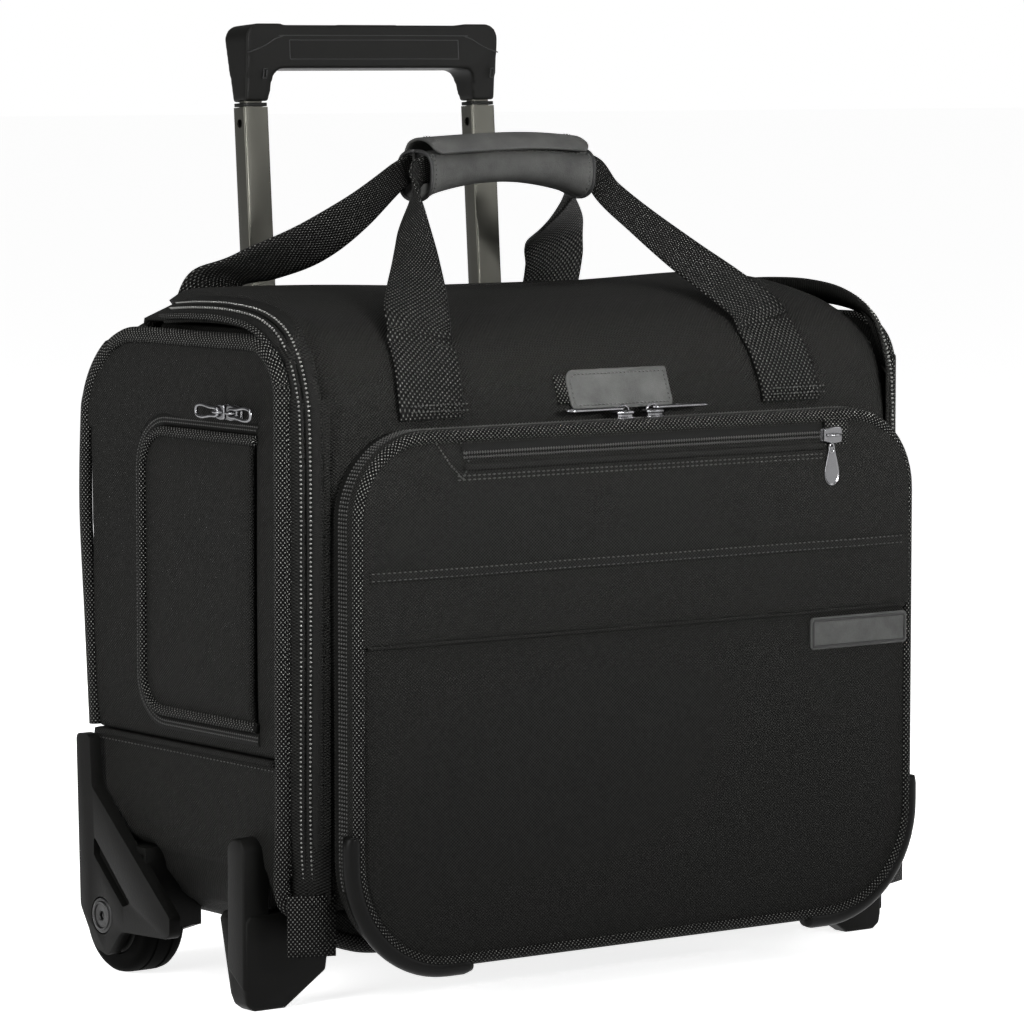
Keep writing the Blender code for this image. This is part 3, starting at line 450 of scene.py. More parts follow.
def braided(name, pitch, dark, light, depth, roughness=0.5, specular=0.15):
    """Braid or webbing, whose ribs follow the piece: read from its own map of metres along and round."""
    made, tree = finish_base(name, roughness, specular)
    where = tree.nodes.new("ShaderNodeUVMap")
    where.uv_map = "along"
    place = tree.nodes.new("ShaderNodeSeparateXYZ")
    tree.links.new(where.outputs["UV"], place.inputs[0])
    lengthways = math_step(tree, "SINE", math_step(tree, "MULTIPLY", place.outputs["X"], 2 * math.pi / pitch[0]))
    crossways = math_step(tree, "SINE", math_step(tree, "MULTIPLY", place.outputs["Y"], 2 * math.pi / pitch[1]))
    knot = math_step(tree, "MULTIPLY_ADD", math_step(tree, "MULTIPLY", lengthways, crossways), 0.5, 0.5)
    grain = tree.nodes.new("ShaderNodeTexCoord")
    speckle = noise(tree, grain.outputs["Object"], 900.0, 2.0)
    # Painted highlight: the colour turns pale only at the tip of each knot, sparse bright glints on the black braid,
    # times random speckle.
    crest_highlight_and_mottle = math_step(tree, "MULTIPLY", math_step(tree, "POWER", knot, 6.5),
                      math_step(tree, "MULTIPLY_ADD", speckle, 1.5, 0.1))
    tint(tree, blend_colours(tree, crest_highlight_and_mottle, dark, light))
    emboss(tree, knot, depth)
    return made


# The pale colour is the painted highlight on the braid's knots; the braid itself is black.
BRAID = braided("binding_braid", BRAID_PITCH, (0.0012, 0.0012, 0.0011), (0.27, 0.27, 0.255), 0.0009,
                specular=0.05)
THREAD, _ = finish_base("black_thread", 0.45, 0.4)
THREAD.node_tree.nodes["Principled BSDF"].inputs["Base Color"].default_value = (0.035, 0.035, 0.033, 1)
PALE_THREAD, _ = finish_base("grey_thread", 0.40, 0.5)
PALE_THREAD.node_tree.nodes["Principled BSDF"].inputs["Base Color"].default_value = (0.150, 0.150, 0.142, 1)
LEATHER_STITCH = (0.0016, 0.0006, 0.0004)
SEAM_STITCH = (0.0021, 0.0007, 0.0004)
TACK_STITCH = (0.0016, 0.0008, 0.0005)
# The zip tape's lighter colour is the painted highlight on its weave's crossings, its darker one the painted shade
# between.
TAPE = woven_cloth("zip_tape", (0.0012, 0.0009), (0.0015, 0.0015, 0.0013), (0.0085, 0.0085, 0.0078), 0.0002)

POCKET_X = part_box("side_pocket_r")[1].x
POCKET_LOW, POCKET_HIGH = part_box("side_pocket_r")[0].z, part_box("side_pocket_r")[1].z
FLAP_LOW, FLAP_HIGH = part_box("side_flap_r")[0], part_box("side_flap_r")[1]
FLAP_FRONT_Y, FLAP_REAR_Y = FLAP_LOW.y - FRONT, FLAP_HIGH.y - FRONT
POCKET_FRONT_Y, POCKET_REAR_Y, POCKET_BRIM_Z = -0.0165, 0.1610, POCKET_HIGH - 0.0035


def arc(centre, radius, start, end, steps=6):
    """Points of an arc in a plane, the angles in degrees."""
    return [(centre[0] + radius * math.cos(math.radians(start + (end - start) * i / steps)),
             centre[1] + radius * math.sin(math.radians(start + (end - start) * i / steps)))
            for i in range(steps + 1)]


def evened(line, gap, closed=False):
    """The same line with points about one gap apart."""
    points = [Vector(p[:3]) for p in line] + ([Vector(line[0][:3])] if closed else [])
    lengths = [0.0]
    for a, b in zip(points, points[1:]):
        lengths.append(lengths[-1] + (b - a).length)
    count = max(2, round(lengths[-1] / gap))
    made, at = [], 0
    for i in range(count + (0 if closed else 1)):
        wanted = min(lengths[-1], lengths[-1] * i / count)
        while at < len(points) - 2 and lengths[at + 1] < wanted:
            at += 1
        span = lengths[at + 1] - lengths[at] or 1.0
        made.append(tuple(points[at].lerp(points[at + 1], (wanted - lengths[at]) / span)))
    return made


for side, letter in ((-1, "l"), (1, "r")):
    box_skin = sewn_soft(f"side_pocket_{letter}", f"end_pocket_{letter}", BALLISTIC, 0.0022, 3)
    for vertex in box_skin.data.vertices:
        x, y, z = vertex.co
        if abs(x) > POCKET_X - 0.002:
            rise = min(1, max(0, (z - POCKET_LOW) / 0.03)) * min(1, max(0, (POCKET_HIGH - z) / 0.03))
            vertex.co.x += side * 0.0012 * rise * (0.7 + 0.3 * math.sin(y * 55) * math.sin(z * 38))
        vertex.co.y -= 0.0040 * min(1.0, max(0.0, (y - FRONT - 0.10) / 0.06))
        vertex.co.z -= 0.0035 * min(1.0, max(0.0, (z - 0.285) / 0.04))
        vertex.co.y, vertex.co.z = shouldered(x, vertex.co.y - FRONT, vertex.co.z)
        vertex.co.y += FRONT
    settle(box_skin, "case", [f"side_pocket_{letter}"])

    face_x = side * (POCKET_X - 0.0005)
    edge = [(POCKET_FRONT_Y + 0.0010, 0.060), (POCKET_FRONT_Y, 0.100), (POCKET_FRONT_Y, 0.200),
            (POCKET_FRONT_Y, POCKET_BRIM_Z - 0.028)]
    edge += arc((POCKET_FRONT_Y + 0.026, POCKET_BRIM_Z - 0.027), 0.026, 170, 95, 4)
    edge += [(0.045, POCKET_BRIM_Z - 0.0012), (0.085, POCKET_BRIM_Z - 0.0012)]
    edge += arc((SHOULDER_Y, SHOULDER_Z), SHOULDER_RADIUS - 0.0015, 85, 5, 6)
    edge += [(POCKET_REAR_Y, 0.235), (POCKET_REAR_Y - 0.004, 0.180), (POCKET_REAR_Y - 0.0080, 0.125)]
    lower_front = [(side * 0.128, -0.0155, 0.0285), (side * 0.150, -0.0160, 0.0310), (side * 0.172, -0.0165, 0.0390),
                   (side * 0.1855, -0.0165, 0.0500)]
    bound = evened(smooth_line(lower_front + [(face_x, y, z) for y, z in edge]), 0.0022)
    facing = [(side * 1.0, -0.9 if p[1] < 0.0 else 0.0, 0.7 if p[2] > 0.318 else 0.0) for p in bound]
    run_along(f"end_binding_{letter}", bound, facing, oval(0.0042, 0.0030, 14), BRAID, "case")
    seam = [(side * (POCKET_X + 0.0003), y, TUB_SEAM_Z - 0.0012) for y in (-0.010, 0.05, 0.10, 0.150)]
    stitches(f"end_seam_{letter}", [(seam, (side, 0, 0), False),
                                    ([(x, y, z - 0.0035) for x, y, z in seam], (side, 0, 0), False)],
             THREAD, "case", 0.0030, SEAM_STITCH)
    run_along(f"end_seam_ridge_{letter}", evened(seam, 0.01), (side, 0, 0), oval(0.0016, 0.0009, 8), BALLISTIC,
              "case")

# The padded flap of each end pocket: nylon over thin foam, piped with braid on its three free edges, with
# a coil zip between the piping and the box. It swings on its front edge.
for side, letter in ((-1, "l"), (1, "r")):
    rear, front, low, high = FLAP_REAR_Y - 0.0012, FLAP_FRONT_Y, FLAP_LOW.z + 0.0012, FLAP_HIGH.z - 0.0012
    curve = arc((rear - 0.018, low + 0.018), 0.018, -90, 0, 8) + arc((rear - 0.020, high - 0.020), 0.020, 0, 90, 8)
    curve = curve[:9] + [(rear, low + 0.018 + (high - low - 0.038) * i / 20) for i in range(1, 20)] + curve[9:]
    points, columns = [], 24
    base_x = abs(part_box(f"side_flap_{letter}")[0 if side < 0 else 1].x)
    for edge_y, z in curve:
        for i in range(columns + 1):
            y = front + (edge_y - front) * i / columns
            inside = min(y - front + 0.006, edge_y - y, z - low, high - z, 0.020)
            swell = 0.0022 * math.sin(math.pi / 2 * max(0.0, inside) / 0.020)
            points.append((side * (base_x - 0.0012 + swell), y, z))
    flap = add_mesh(f"end_flap_{letter}", points, sheet_faces(len(curve) - 1, columns), BALLISTIC,
                    f"side_flap_{letter}", [f"side_flap_{letter}"])
    thickened(flap, 0, side, 0.0035)
    outline = [(side * (base_x - 0.0010), y, z) for y, z in [(front - 0.004, low)] + curve + [(front - 0.004, high)]]
    outline = evened(outline, 0.0022)
    run_along(f"flap_piping_{letter}", outline, (side, 0, 0), oval(0.0026, 0.0028, 12), BRAID,
              f"side_flap_{letter}")
    outside = shifted(outline, (side, 0, 0), 0.0058, -0.0014)
    grown = (Vector(outside[len(outside) // 2]) - Vector(outline[len(outline) // 2])).y
    if grown < 0:
        outside = shifted(outline, (side, 0, 0), -0.0058, -0.0014)
    run_along(f"flap_zip_tape_{letter}", outside, (side, 0, 0),
              [(-0.0034, -0.0006), (0.0034, -0.0006), (0.0034, 0.0004), (0.0, 0.0012), (-0.0034, 0.0004)], TAPE,
              "case")
    stitches(f"flap_zip_coil_{letter}", [(shifted(outside, (side, 0, 0), off, 0.0009), (side, 0, 0), False)
                                         for off in (-0.0009, 0.0009)],
             THREAD, "case", 0.0018, (0.0013, 0.0011, 0.0006))

# The lid: the nylon front wall and top that the main zip frees. The top is crowned over a foam sheet, rolls
# down softly to the front, and dips a little where nothing holds it up. Its ends carry a nylon gusset.
LID_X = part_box("lid_top")[1].x
LID_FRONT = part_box("lid_front")[0].y - FRONT
LID_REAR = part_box("lid_top")[1].y - FRONT
LID_FOOT, LID_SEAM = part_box("lid_front")[0].z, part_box("lid_front")[1].z
LID_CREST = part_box("lid_top")[1].z
side_run = smooth_line([
    (LID_FRONT, LID_FOOT), (LID_FRONT, 0.15), (LID_FRONT, 0.25), (LID_FRONT + 0.0020, LID_SEAM),
    (-0.0290, 0.3005), (-0.0200, 0.3165), (-0.0055, 0.3300), (0.0180, 0.3405), (0.0550, LID_CREST - 0.0008),
    (0.0950, LID_CREST), (0.1250, LID_CREST - 0.0010), (LID_REAR - 0.004, LID_CREST - 0.0034),
    (LID_REAR - 0.0003, LID_CREST - 0.0066)], 6)
LID_CORNER = 0.060
COLUMNS = 64


def lid_point(i, share):
    """A point of the lid's cloth: along its profile by index, across it by a share from -1 to 1."""
    y, z = side_run[i][:2]
    into_corner = min(LID_CORNER, max(0.0, y - (LID_REAR - LID_CORNER)))
    reach = LID_X + 0.0008 - LID_CORNER + math.sqrt(LID_CORNER**2 - into_corner**2)
    end = max(0.0, (abs(share) - 0.90) / 0.10)
    x = share * reach
    top = max(0.0, min(1.0, (z - 0.300) / 0.03))
    round_off = 0.0055 * end**2
    sag = 0.0016 * top * math.sin(x * 21 + 0.6) * math.sin(y * 34 + 1.0) - 0.0018 * top * (1 - (x / LID_X)**2)
    wave = 0.0012 * (1 - top) * math.sin(x * 30) * math.sin(z * 24)
    return (x, y + round_off * (1 - top) + wave * (1 - top), z - round_off * top + sag)


lid_points = [lid_point(i, 2 * j / COLUMNS - 1) for i in range(len(side_run)) for j in range(COLUMNS + 1)]
lid_skin = add_mesh("lid", lid_points, sheet_faces(len(side_run) - 1, COLUMNS), BALLISTIC, "lid",
                    ["lid_front", "lid_top"])
thickened(lid_skin, 2, 1, 0.0030)

# The main zip: it starts at the foot of each end's front edge, climbs it, turns back along the top edge and
# ends at two sliders at the middle of the back. Two nylon gussets meet at a covered coil, whose stitching
# shows as two rows of dots; the lid's edge is bound with braid.
TUB_TOP_Z, REAR_EDGE_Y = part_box("body_tub")[1].z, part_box("body_tub")[1].y - FRONT - 0.0010
GUSSET_THICKNESS = 0.0014


def gusset_between(name, inner, outer, body):
    """A nylon strip sewn between two lines of as many points."""
    points = [q for pair in zip(inner, outer) for q in pair]
    faces = [(2 * k, 2 * k + 1, 2 * k + 3, 2 * k + 2) for k in range(len(outer) - 1)]
    strip = add_mesh(name, points, faces, BALLISTIC, body)
    apply_modifier(strip, "SOLIDIFY", thickness=GUSSET_THICKNESS, offset=0.0)
    return turn_outward(strip)


for side, letter in ((-1, "l"), (1, "r")):
    knots = [(-0.1800, -0.0215, 0.0560, -0.8, -0.6, 0.0), (-0.1845, -0.0245, 0.0900, -0.75, -0.65, 0.0),
             (-0.1848, -0.0255, 0.1800, -0.75, -0.65, 0.0), (-0.1848, -0.0255, 0.2750, -0.75, -0.65, 0.0),
             (-0.1850, -0.0220, 0.3060, -0.72, -0.60, 0.35), (-0.1853, -0.0105, 0.3270, -0.65, -0.35, 0.68),
             (-0.1855, 0.0080, 0.3370, -0.55, -0.15, 0.82), (-0.1855, 0.0350, 0.3405, -0.55, 0.0, 0.83),
             (-0.1850, 0.0640, 0.3405, -0.55, 0.05, 0.83), (-0.1810, 0.0900, 0.3390, -0.52, 0.18, 0.83),
             (-0.1720, 0.1110, 0.3375, -0.45, 0.32, 0.83), (-0.1570, 0.1290, 0.3370, -0.32, 0.46, 0.83),
             (-0.1340, 0.1440, 0.3370, -0.16, 0.56, 0.81), (-0.1040, 0.1510, 0.3372, -0.02, 0.60, 0.80),
             (-0.0600, 0.1520, 0.3372, 0.0, 0.60, 0.80), (-0.0020, 0.1520, 0.3372, 0.0, 0.60, 0.80)]
    knots = [(x * -side, y, z, nx * -side, ny, nz) for x, y, z, nx, ny, nz in knots]
    run = smooth_line(knots, 22)
    outward = [tuple(p[3:]) for p in run]
    hand = 1 if side < 0 else -1
    for part, body, centre in (("case", "case", 0.0042), ("lid", "lid", -0.0042)):
        away = centre * hand
        half = shifted(run, outward, away, 0.0)
        run_along(f"main_zip_tape_{part}_{letter}", half, outward,
                  [(-0.0039, -0.0004), (0.0039, -0.0004), (0.0039, 0.0006), (-0.0039, 0.0006)], TAPE, body)
        welt = shifted(run, outward, away * 0.30, 0.0006)
        run_along(f"main_zip_welt_{part}_{letter}", welt, outward, oval(0.0010, 0.0009, 8), TAPE, body)
        dots = shifted(run, outward, away * 0.55, 0.0010)
        stitches(f"main_zip_coil_{part}_{letter}", [(dots, outward, False)], PALE_THREAD, body, 0.0022,
                 (0.0013, 0.0015, 0.0008))
    lid_edge = shifted(run, outward, -0.0088 * hand, 0.0005)
    run_along(f"lid_edge_binding_{letter}", lid_edge, outward, oval(0.0016, 0.0015, 10), BRAID, "lid")
    fold = [(side * (LID_X - 0.0005), LID_FRONT + 0.0030, z) if z < 0.300 else (x - side * 0.0060, y, z + 0.0010)
            for x, y, z in lid_edge]
    gusset_between(f"lid_gusset_{letter}", lid_edge, fold, "lid")
    case_edge = shifted(run, outward, 0.0084 * hand, 0.0)
    wall = []
    for x, y, z in case_edge:
        centre = Vector((side * (LID_X - LID_CORNER), LID_REAR - LID_CORNER))
        spoke = Vector((x, y)) - centre
        if z < 0.325 or spoke.y < 0.004:
            wall.append((side * (POCKET_X - 0.0035), max(y, POCKET_FRONT_Y + 0.0005), z - (0.012 if z > 0.31 else 0)))
            continue
        spoke.x = side * max(0.0001, side * spoke.x)
        stretch = min((POCKET_X - 0.0040 - abs(centre.x)) / abs(spoke.x), (REAR_EDGE_Y - centre.y) / spoke.y)
        outer = centre + spoke * stretch
        wall.append((outer.x, *shouldered(outer.x, outer.y, TUB_TOP_Z + 0.0006)))
    gusset_between(f"case_gusset_{letter}", case_edge, wall, "case")

# The organiser panel: a padded nylon cover with two big lower corners, bound with braid round its rim. Its
# upper part is a second layer that overlaps the lower one in a fold, crossed by a double-stitched band and
# a pocket zip. A smooth gusset joins it to the organiser zip, whose other half is sewn to the lid.
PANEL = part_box("front_panel")
PANEL_X = PANEL[1].x
PANEL_LOW, PANEL_HIGH = PANEL[0].z, PANEL[1].z
PANEL_FRONT = PANEL[0].y - FRONT
LOW_RADIUS, HIGH_RADIUS = 0.055, 0.042
ZIP_Y = (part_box("organiser_slider_l")[0].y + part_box("organiser_slider_l")[1].y) / 2 - FRONT
FOLD_Z, BAND_Z, POCKET_ZIP_Z = 0.1810, 0.2145, 0.2712


def half_width(z, inset=0.0):
    """The panel's half width at a height, for its outline moved in by inset."""
    reach = PANEL_X - inset
    for radius, level, sign in ((LOW_RADIUS, PANEL_LOW + LOW_RADIUS, -1), (HIGH_RADIUS, PANEL_HIGH - HIGH_RADIUS, 1)):
        drop = (z - level) * sign
        if drop > 0:
            radius -= inset
            return reach - radius + math.sqrt(max(0.0, radius**2 - min(drop, radius)**2))
    return reach


def rim_distance(x, z):
    """How far a point lies inside the panel's outline."""
    distance = min(PANEL_X - abs(x), z - PANEL_LOW, PANEL_HIGH - z)
    for radius, level, sign in ((LOW_RADIUS, PANEL_LOW + LOW_RADIUS, -1), (HIGH_RADIUS, PANEL_HIGH - HIGH_RADIUS, 1)):
        across, up = abs(x) - (PANEL_X - radius), (z - level) * sign
        if across > 0 and up > 0:
            distance = radius - math.hypot(across, up)
    return max(0.0, distance)


def cover_y(x, z):
    """The crowned face of the cover, fuller low down where the pocket hangs."""
    inside = min(1.0, rim_distance(x, z) / 0.045)
    crown = math.sin(math.pi / 2 * inside)
    low = max(0.0, 1 - abs(z - 0.095) / 0.09)
    top_roll = max(0.0, (z - 0.262) / (PANEL_HIGH - 0.262))
    ripple = 0.0005 * math.sin(x * 52 + 1.0) * math.sin(z * 47) * crown
    return PANEL_FRONT + 0.0014 - (0.0022 + 0.0016 * low) * crown + 0.0035 * top_roll**2 + ripple


def cover_layer(name, heights, lift, inset, thickness, columns=72):
    """One layer of the cover between the first and last height, as closed cloth."""
    points = []
    for z in heights:
        reach = half_width(z, inset)
        for j in range(columns + 1):
            x = reach * (2 * j / columns - 1)
            points.append((x, cover_y(x, z) - lift, z))
    layer = add_mesh(name, points, sheet_faces(len(heights) - 1, columns), BALLISTIC, "organiser_panel")
    return thickened(layer, 1, -1, thickness)


RIM_INSET = 0.0030
low_heights = [PANEL_LOW + LOW_RADIUS - (LOW_RADIUS - RIM_INSET) * math.cos(math.pi / 2 * i / 14) for i in range(15)]
low_heights += [PANEL_LOW + LOW_RADIUS + (FOLD_Z + 0.006 - PANEL_LOW - LOW_RADIUS) * i / 26 for i in range(1, 27)]
lower_cover = cover_layer("cover_lower", low_heights, 0.0, RIM_INSET, 0.0022)
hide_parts("front_panel")
high_heights = [FOLD_Z + step for step in (0.0, 0.0006, 0.0016, 0.0032)]
high_heights += [FOLD_Z + 0.0032 + (PANEL_HIGH - HIGH_RADIUS - FOLD_Z - 0.0032) * i / 14 for i in range(1, 15)]
high_heights += [PANEL_HIGH - HIGH_RADIUS + (HIGH_RADIUS - RIM_INSET) * math.sin(math.pi / 2 * i / 12)
                 for i in range(1, 13)]
upper_cover = cover_layer("cover_upper", high_heights, 0.0017, RIM_INSET, 0.0014)
for vertex in upper_cover.data.vertices:
    if vertex.co.z < FOLD_Z + 0.0010:
        vertex.co.y += 0.0007


def along_cover(z, left, right, lift, count=60):
    """A level line across the cover."""
    return [(left + (right - left) * i / count, cover_y(left + (right - left) * i / count, z) - lift, z)
            for i in range(count + 1)]


fold_edge = along_cover(FOLD_Z, -half_width(FOLD_Z, 0.006), half_width(FOLD_Z, 0.006), 0.0012)
run_along("cover_fold", fold_edge, (0, -1, 0), oval(0.0011, 0.0011, 8), BALLISTIC, "organiser_panel")
band_left, band_right = -half_width(BAND_Z, 0.007), half_width(BAND_Z, 0.007)
run_along("cover_band_ridge", along_cover(BAND_Z + 0.0005, band_left, band_right, 0.0017), (0, -1, 0),
          [(-0.0030, -0.0004), (0.0030, -0.0004), (0.0030, 0.0002), (0.0018, 0.0008), (-0.0018, 0.0007)],
          BALLISTIC, "organiser_panel")
cover_seams = [(along_cover(z, band_left, band_right, lift), (0, -1, 0), False)
               for z, lift in ((BAND_Z + 0.0022, 0.0022), (BAND_Z - 0.0012, 0.0023))]
cover_seams.append((along_cover(POCKET_ZIP_Z - 0.0098, -0.118, 0.112, 0.0018), (0, -1, 0), False))
cover_seams.append((along_cover(POCKET_ZIP_Z - 0.0118, -0.118, 0.112, 0.0018), (0, -1, 0), False))
stitches("cover_seams", cover_seams, THREAD, "organiser_panel", 0.0030, (0.0022, 0.0007, 0.0005))

outline = [(-0.02, PANEL_LOW)]
outline += arc((-(PANEL_X - LOW_RADIUS), PANEL_LOW + LOW_RADIUS), LOW_RADIUS, 270, 180, 14)
outline += arc((-(PANEL_X - HIGH_RADIUS), PANEL_HIGH - HIGH_RADIUS), HIGH_RADIUS, 180, 90, 12)
outline += arc((PANEL_X - HIGH_RADIUS, PANEL_HIGH - HIGH_RADIUS), HIGH_RADIUS, 90, 0, 12)
outline += arc((PANEL_X - LOW_RADIUS, PANEL_LOW + LOW_RADIUS), LOW_RADIUS, 0, -90, 14)
rim = evened([(x, 0.0, z) for x, z in outline], 0.0022, closed=True)


def rim_out(line):
    """Away from the panel's middle, square to its outline, at each point."""
    return [tuple(along.cross(Vector((0, 1, 0)))) for _, _, along in frames_along(line, (0, -1, 0), True)]


away = rim_out(rim)
if Vector(away[0]).z > 0:
    away = [tuple(-Vector(a)) for a in away]


def beside_rim(line, directions, out, y):
    return [(p[0] + out * a[0], y, p[2] + out * a[2]) for p, a in zip(line, directions)]


run_along("rim_binding", beside_rim(rim, away, -0.0026, PANEL_FRONT + 0.0026), (0, -1, 0), oval(0.0033, 0.0032, 14),
          BRAID, "organiser_panel", closed=True)
gusset_line = beside_rim(rim, away, -0.0008, -0.0488)
run_along("rim_gusset", gusset_line, away, [(-0.0052, -0.0016), (0.0052, -0.0016), (0.0052, 0.0), (0.0030, 0.0012),
                                            (0.0, 0.0017), (-0.0030, 0.0012), (-0.0052, 0.0)],
          BALLISTIC, "organiser_panel", closed=True)
zipped = [k for k, p in enumerate(rim) if p[2] > 0.062]
first = next(k for k in zipped if k - 1 not in zipped)
order = [(first + step) % len(rim) for step in range(len(zipped))]
zip_rim, zip_away = [rim[k] for k in order], [away[k] for k in order]
for part, body, shift in (("panel", "organiser_panel", -0.0032), ("lid", "lid", 0.0032)):
    tape_line = beside_rim(zip_rim, zip_away, 0.0, ZIP_Y + shift)
    run_along(f"organiser_zip_tape_{part}", tape_line, zip_away,
              [(-0.0030, -0.0012), (0.0030, -0.0012), (0.0030, 0.0004), (-0.0030, 0.0004)], TAPE, body)
    stitches(f"organiser_zip_coil_{part}", [(beside_rim(zip_rim, zip_away, 0.0004, ZIP_Y + shift * f), zip_away, False)
                                            for f in (0.30, 0.95)],
             THREAD, body, 0.0020, (0.0014, 0.0012, 0.0007))
lid_rim = beside_rim(rim, away, -0.0012, LID_FRONT - 0.0018)
run_along("lid_rim", lid_rim, away, [(-0.0022, -0.0010), (0.0022, -0.0010), (0.0022, 0.0006), (-0.0022, 0.0014)],
          BALLISTIC, "lid", closed=True)

# The pocket zip across the cover: a narrow tape let in behind two turned edges, with a fine coil, closed at
# the right by a folded tab of braid and at the left by a sewn arrowhead.
zip_left, zip_right = -0.1135, 0.1135
for name, z, lift, section, material in (
        ("pocket_zip_tape", POCKET_ZIP_Z, 0.0016, [(-0.0058, -0.0003), (0.0058, -0.0003), (0.0058, 0.0003),
                                                  (-0.0058, 0.0003)], TAPE),
        ("pocket_zip_lip_low", POCKET_ZIP_Z - 0.0058, 0.0019, oval(0.0019, 0.0009, 8), BALLISTIC),
        ("pocket_zip_lip_high", POCKET_ZIP_Z + 0.0054, 0.0019, oval(0.0017, 0.0009, 8), BALLISTIC)):
    run_along(name, along_cover(z, zip_left, zip_right, lift), (0, -1, 0), section, material, "organiser_panel")
stitches("pocket_zip_coil", [(along_cover(POCKET_ZIP_Z + dz, zip_left, zip_right, 0.0021), (0, -1, 0), False)
                             for dz in (-0.0011, 0.0011)],
         THREAD, "organiser_panel", 0.0016, (0.0011, 0.0016, 0.0008))
arrow = [(zip_left - 0.0010, POCKET_ZIP_Z + 0.0085), (zip_left - 0.0160, POCKET_ZIP_Z + 0.0085),
         (zip_left - 0.0085, POCKET_ZIP_Z - 0.0035), (zip_left - 0.0010, POCKET_ZIP_Z - 0.0115),
         (zip_left + 0.0035, POCKET_ZIP_Z - 0.0040)]
arrow_line = [(x, cover_y(x, z) - 0.0020, z) for x, _, z in evened([(x, 0.0, z) for x, z in arrow], 0.001, True)]
stitches("pocket_arrowhead", [(arrow_line, (0, -1, 0), True)], THREAD, "organiser_panel", 0.0019,
         (0.0015, 0.0009, 0.0006))
tab_line = [(zip_right + 0.0008 + 0.0150 * i / 8, cover_y(zip_right + 0.015 * i / 8, POCKET_ZIP_Z) - 0.0022,
             POCKET_ZIP_Z + 0.0010) for i in range(9)]
run_along("pocket_zip_tab", tab_line, (0, -1, 0), [(-0.0068, -0.0006), (0.0068, -0.0006), (0.0068, 0.0004),
                                                   (0.0, 0.0010), (-0.0068, 0.0004)], BRAID, "organiser_panel")

# The corner guards: smooth black rubber mouldings that wrap each lower corner of the cover over its braid.
def plain(name, colour, roughness, specular, grain=0.0, size=900.0, depth=0.0001, metallic=0.0, coat=0.0, mottle=0.25):
    """A moulded or cast finish: one colour, a little mottled, with a fine grain."""
    made, tree = finish_base(name, roughness, specular, metallic, coat=coat)
    where = tree.nodes.new("ShaderNodeTexCoord")
    cloud = noise(tree, where.outputs["Object"], 60.0, 4.0)
    dark = tuple(c * (1 - mottle) for c in colour)
    light = tuple(c * (1 + mottle) for c in colour)
    tint(tree, blend_colours(tree, cloud, dark, light))
    if grain:
        emboss(tree, noise(tree, where.outputs["Object"], size, 2.0), depth, grain)
    return made


RUBBER = plain("black_rubber", (0.0030, 0.0030, 0.0028), 0.38, 0.08, 0.25, 700.0, 0.0001)
GUARD_Y = -0.0508
for side, letter in ((-1, "l"), (1, "r")):
    corner_x, corner_z = side * (PANEL_X - LOW_RADIUS), PANEL_LOW + LOW_RADIUS
    reach = LOW_RADIUS + 0.0008
    guard = [(corner_x + side * reach, GUARD_Y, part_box(f"corner_guard_{letter}")[1].z),
             (corner_x + side * reach, GUARD_Y, corner_z + 0.007)]
    guard += [(corner_x + side * reach * math.cos(math.radians(a)), GUARD_Y,
               corner_z - reach * math.sin(math.radians(a))) for a in range(0, 91, 6)]
    guard += [(side * 0.1120, GUARD_Y, corner_z - reach), (side * 0.1070, GUARD_Y, corner_z - reach)]
    line = evened(guard, 0.0020)
    taper = [min(1.0, 0.72 + 0.28 * min(i, len(line) - 1 - i) / 1.6) for i in range(len(line))]
    run_along(f"guard_{letter}", line, (0, -1, 0), oval(0.0046, 0.0044, 20), RUBBER, "organiser_panel",
              replaced=[f"corner_guard_{letter}"], widths=taper)

# Leather: a charcoal nubuck name patch above the cover and a small blank badge at the right of its fold. Each
# is a skived, stitched piece with a turned edge; the nap shows as soft clouds, paler where it is rubbed.
def nubuck(name, dark, light, roughness=0.7):
    made, tree = finish_base(name, roughness, 0.10)
    where = tree.nodes.new("ShaderNodeTexCoord")
    cloud = noise(tree, where.outputs["Object"], 55.0, 6.0, 0.6)
    nap = noise(tree, where.outputs["Object"], 1600.0, 2.0)
    mixed = math_step(tree, "MULTIPLY_ADD", nap, 0.35, math_step(tree, "MULTIPLY_ADD", cloud, 1.5, -0.42))
    tint(tree, blend_colours(tree, mixed, dark, light))
    emboss(tree, math_step(tree, "MULTIPLY_ADD", cloud, 0.6, nap), 0.0002, 0.7)
    return made


NUBUCK_PALE = nubuck("nubuck_patch", (0.034, 0.035, 0.034), (0.086, 0.087, 0.084))
NUBUCK_DARK = nubuck("nubuck_wrap", (0.024, 0.0245, 0.024), (0.074, 0.074, 0.071))
LEATHER_EDGE = plain("leather_edge", (0.012, 0.012, 0.012), 0.55, 0.3, 0.3, 900.0, 0.0001)


def softened(node, name, material, width, segments=3, angle=28.0):
    """A welded copy of a moulded solid with its edges rounded over."""
    piece = traced(node, name, material)
    on_whole_mesh(piece, lambda: bpy.ops.mesh.dissolve_limited(angle_limit=math.radians(1.0)))
    apply_modifier(piece, "BEVEL", width=width, segments=segments, limit_method="ANGLE",
                   angle_limit=math.radians(angle), use_clamp_overlap=True, harden_normals=False)
    return smooth_below(piece, 35)


patch = softened("leather_patch", "name_patch", NUBUCK_PALE, 0.0005, 2)
settle(patch, "lid", ["leather_patch"])
patch_low, patch_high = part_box("leather_patch")
PATCH_SLOPE = 0.39


def patch_face(x, z):
    face = patch_low.y - FRONT + (z - patch_low.z) * PATCH_SLOPE
    return (x, face - 0.0001, z)


